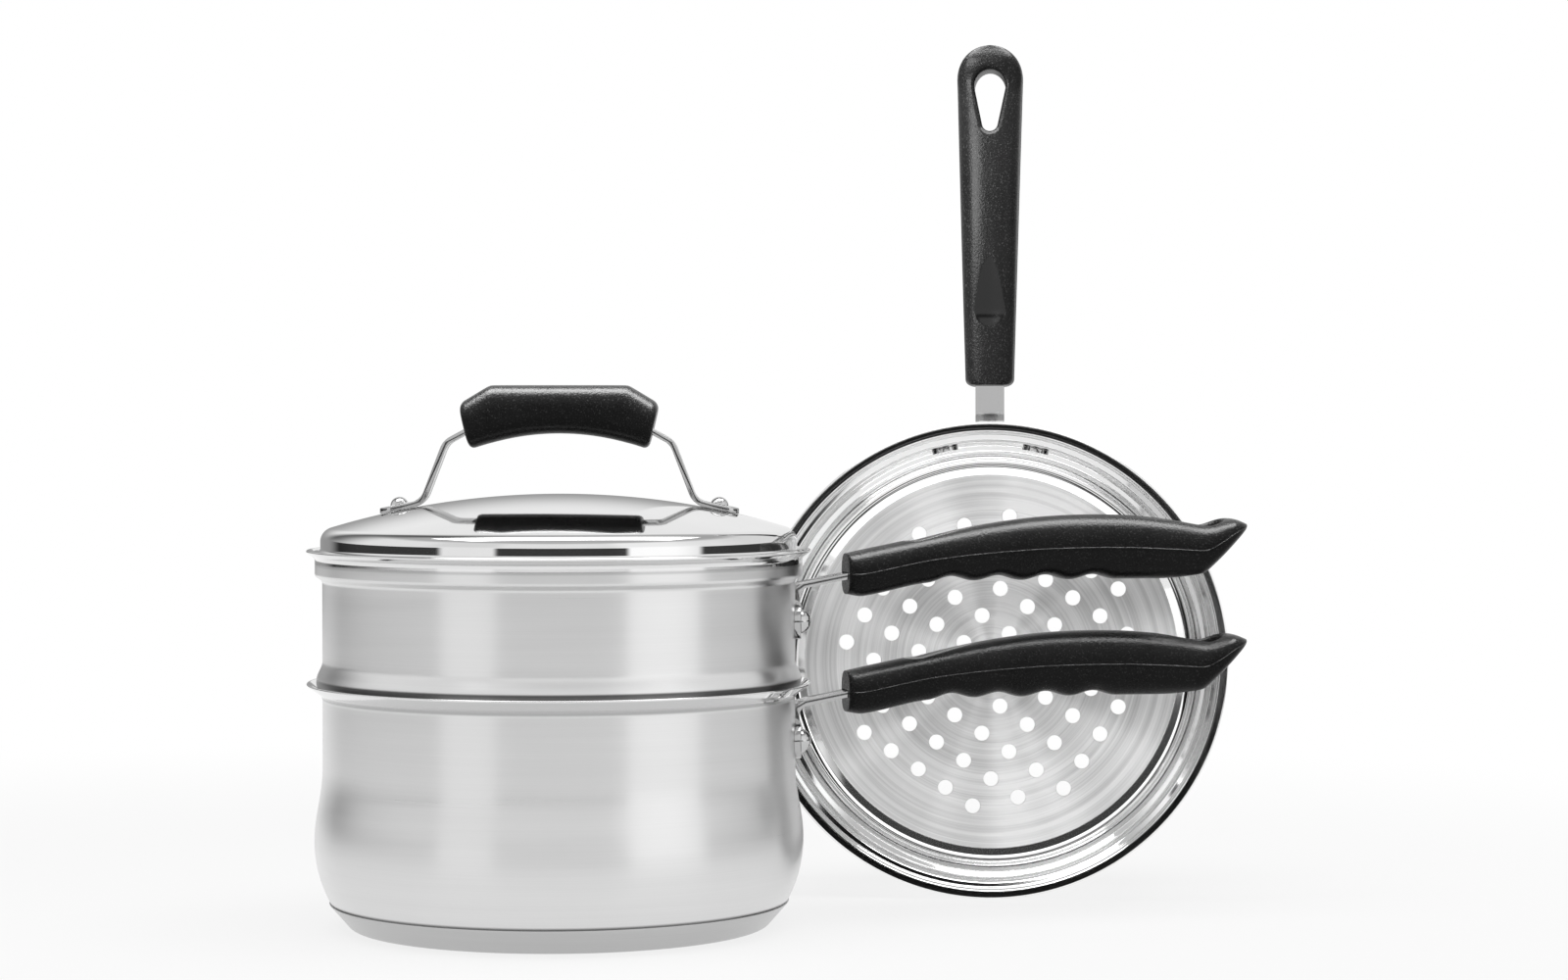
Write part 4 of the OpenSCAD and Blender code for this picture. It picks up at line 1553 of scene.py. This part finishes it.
    def make_floor(self) -> bpy.types.Object:
        """A pale floor that runs out into the white background."""
        shape = bmesh.new()
        bmesh.ops.create_circle(
            shape, cap_ends=True, cap_tris=False, segments=96, radius=self.floor_r
        )
        bmesh.ops.translate(shape, vec=(0.0, 0.0, -self.floor_drop), verts=shape.verts[:])
        finish = bpy.data.materials.new("pale_floor")
        finish.use_nodes = True
        t = NodeTree(finish.node_tree)
        path = t.node("ShaderNodeLightPath")
        seen = t.maths("MAXIMUM", t.out(path, "Is Camera Ray"), t.out(path, "Is Glossy Ray"))
        seen = t.maths("MAXIMUM", seen, t.out(path, "Is Transmission Ray"))
        coords = t.out(t.node("ShaderNodeTexCoord"), "Object")
        reach = t.out(t.node("ShaderNodeVectorMath", {"operation": "LENGTH"}, {0: coords}), "Value")
        share = seen * (0.78 + 0.22 * t.ease(reach, *self.floor_fade))
        grain = t.noise(coords, 900.0)
        pale = t.grey(0.84 + (grain - 0.5) * 0.02)
        matt = t.node("ShaderNodeBsdfDiffuse", None, {"Color": pale})
        glow = t.node("ShaderNodeEmission", None, {"Color": (1.0, 1.0, 1.0, 1.0), "Strength": 1.0})
        mixed = t.node("ShaderNodeMixShader", None, {"Fac": share, 1: t.out(matt), 2: t.out(glow)})
        t.node("ShaderNodeOutputMaterial", None, {"Surface": t.out(mixed)})
        floor = make_piece("floor", shape, finish)
        return floor


# Assembly


def steamer_place(sizes: PanSizes, pan: Insert) -> Matrix:
    """Where the steamer's own frame stands: on its lip and its shoulder, with its handle up.

    Args:
        sizes: the shared sizes.
        pan: the insert.

    Returns:
        The place in metres.
    """
    mid, bend, half_wall = sizes.lip_mid(pan.height), pan.shoulder_bend, sizes.wall / 2
    slant = math.tan(math.radians((90 - sizes.lip_slope) / 2))
    run = mid[0] - (pan.shoulder_r - bend)
    rise = mid[1] - (pan.seat_height(pan.shoulder_r) + bend * slant)
    lean = math.atan2(run, rise) - math.asin((bend - half_wall) / math.hypot(run, rise))
    stand = mid[0] * math.cos(lean) + half_wall * math.sin(lean) + half_wall
    return (
        Matrix.Translation((*STEAMER_AT, stand * MM))
        @ Matrix.Rotation(math.radians(STEAMER_TURN), 4, "Z")
        @ Matrix.Rotation(lean - math.pi / 2, 4, "Y")
        @ lift(-pan.height)
    )


LONG_GRIPS = ("saucepan_long_grip", "boiler_insert_long_grip", "steamer_long_grip")
ACCENTS = (
    Accent("lid_grip_top", 0.0, 92.0, 2.4, 1.1, 350.0, (0.1, 0.0, 0.18), ("lid_arched_grip",)),
    Accent("long_grip_top", 0.0, 92.0, 2.4, 1.1, 230.0, (0.1, 0.0, 0.18), LONG_GRIPS),
    Accent("steamer_grip_left", -42.0, 12.0, 1.2, 1.6, 130.0, (0.16, 0.0, 0.2), LONG_GRIPS[2:]),
    Accent("steamer_front", -3.0, 11.0, 0.5, 0.5, 0.7, (0.21, 0.08, 0.11), ("steamer_wall",), 1.9),
)


def clear_scene() -> None:
    """Removes Blender's own objects."""
    for thing in list(bpy.data.objects):
        bpy.data.objects.remove(thing)


def main() -> None:
    """Builds the studio, dresses the frame and reports each piece."""
    logging.basicConfig(level=logging.INFO, format="%(name)s: %(message)s")
    clear_scene()
    bpy.context.scene.view_settings.view_transform = "Standard"
    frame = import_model()
    nodes: dict[str, bpy.types.Object] = frame["nodes"]

    studio = Studio()
    studio.make_camera()
    studio.make_lights()
    studio.make_world()
    studio.make_floor()

    sizes = PanSizes()
    insert = Insert(sizes)
    standing = steamer_place(sizes, insert)
    saucepan = Saucepan(sizes)
    lid = Lid(sizes, insert)
    made = [
        saucepan.make_pot(),
        saucepan.make_cap(),
        BoilerInsert(insert).make_pan(),
        lid.make_cover(),
        Steamer(insert, standing).make_pan(),
    ]

    phenolic = Phenolic()
    grips = (
        ("saucepan_long_grip", "saucepan", lift(saucepan.rivet_z), 180.0),
        ("boiler_insert_long_grip", "boiler_insert", lift(sizes.stack_z + insert.rivet_z), 180.0),
        ("steamer_long_grip", "steamer_insert", standing @ lift(insert.rivet_z), 152.0),
    )
    for name, body, place, length in grips:
        made.append(LongGrip(name, f"{body}_grip", body, place, length).build(phenolic))
    made.append(LidGrip(lid.crown_z).build(phenolic))

    strap_steel = BrightSteel("strap_steel", tone=0.46, roughness=0.13).material()
    rivet_steel = BrightSteel("rivet_steel", tone=0.54, roughness=0.12).material()
    disc = TurnedSteel("disc_aluminium", tone=0.7, roughness=0.4).material()
    straps = (
        PressedStrap("saucepan_bracket", "saucepan_handle_bracket", "saucepan"),
        PressedStrap("boiler_insert_bracket", "boiler_insert_handle_bracket", "boiler_insert"),
        PressedStrap("steamer_bracket", "steamer_insert_handle_bracket", "steamer_insert"),
        PressedStrap("lid_strap", "lid_handle_strap", "lid"),
    )
    made += [strap.build(nodes[strap.node], strap_steel) for strap in straps]
    for name, node in nodes.items():
        if name.endswith("rivets") or name.endswith("screw"):
            dress(node, rivet_steel)
    dress(nodes["saucepan_base_disc"], disc)

    for accent in ACCENTS:
        studio.make_accent(accent, [piece for piece in made if piece.name in accent.pieces])
    for piece in made:
        LOG.info("%s: %d faces", piece.name, len(piece.data.polygons))


if __name__ == "__main__":
    main()
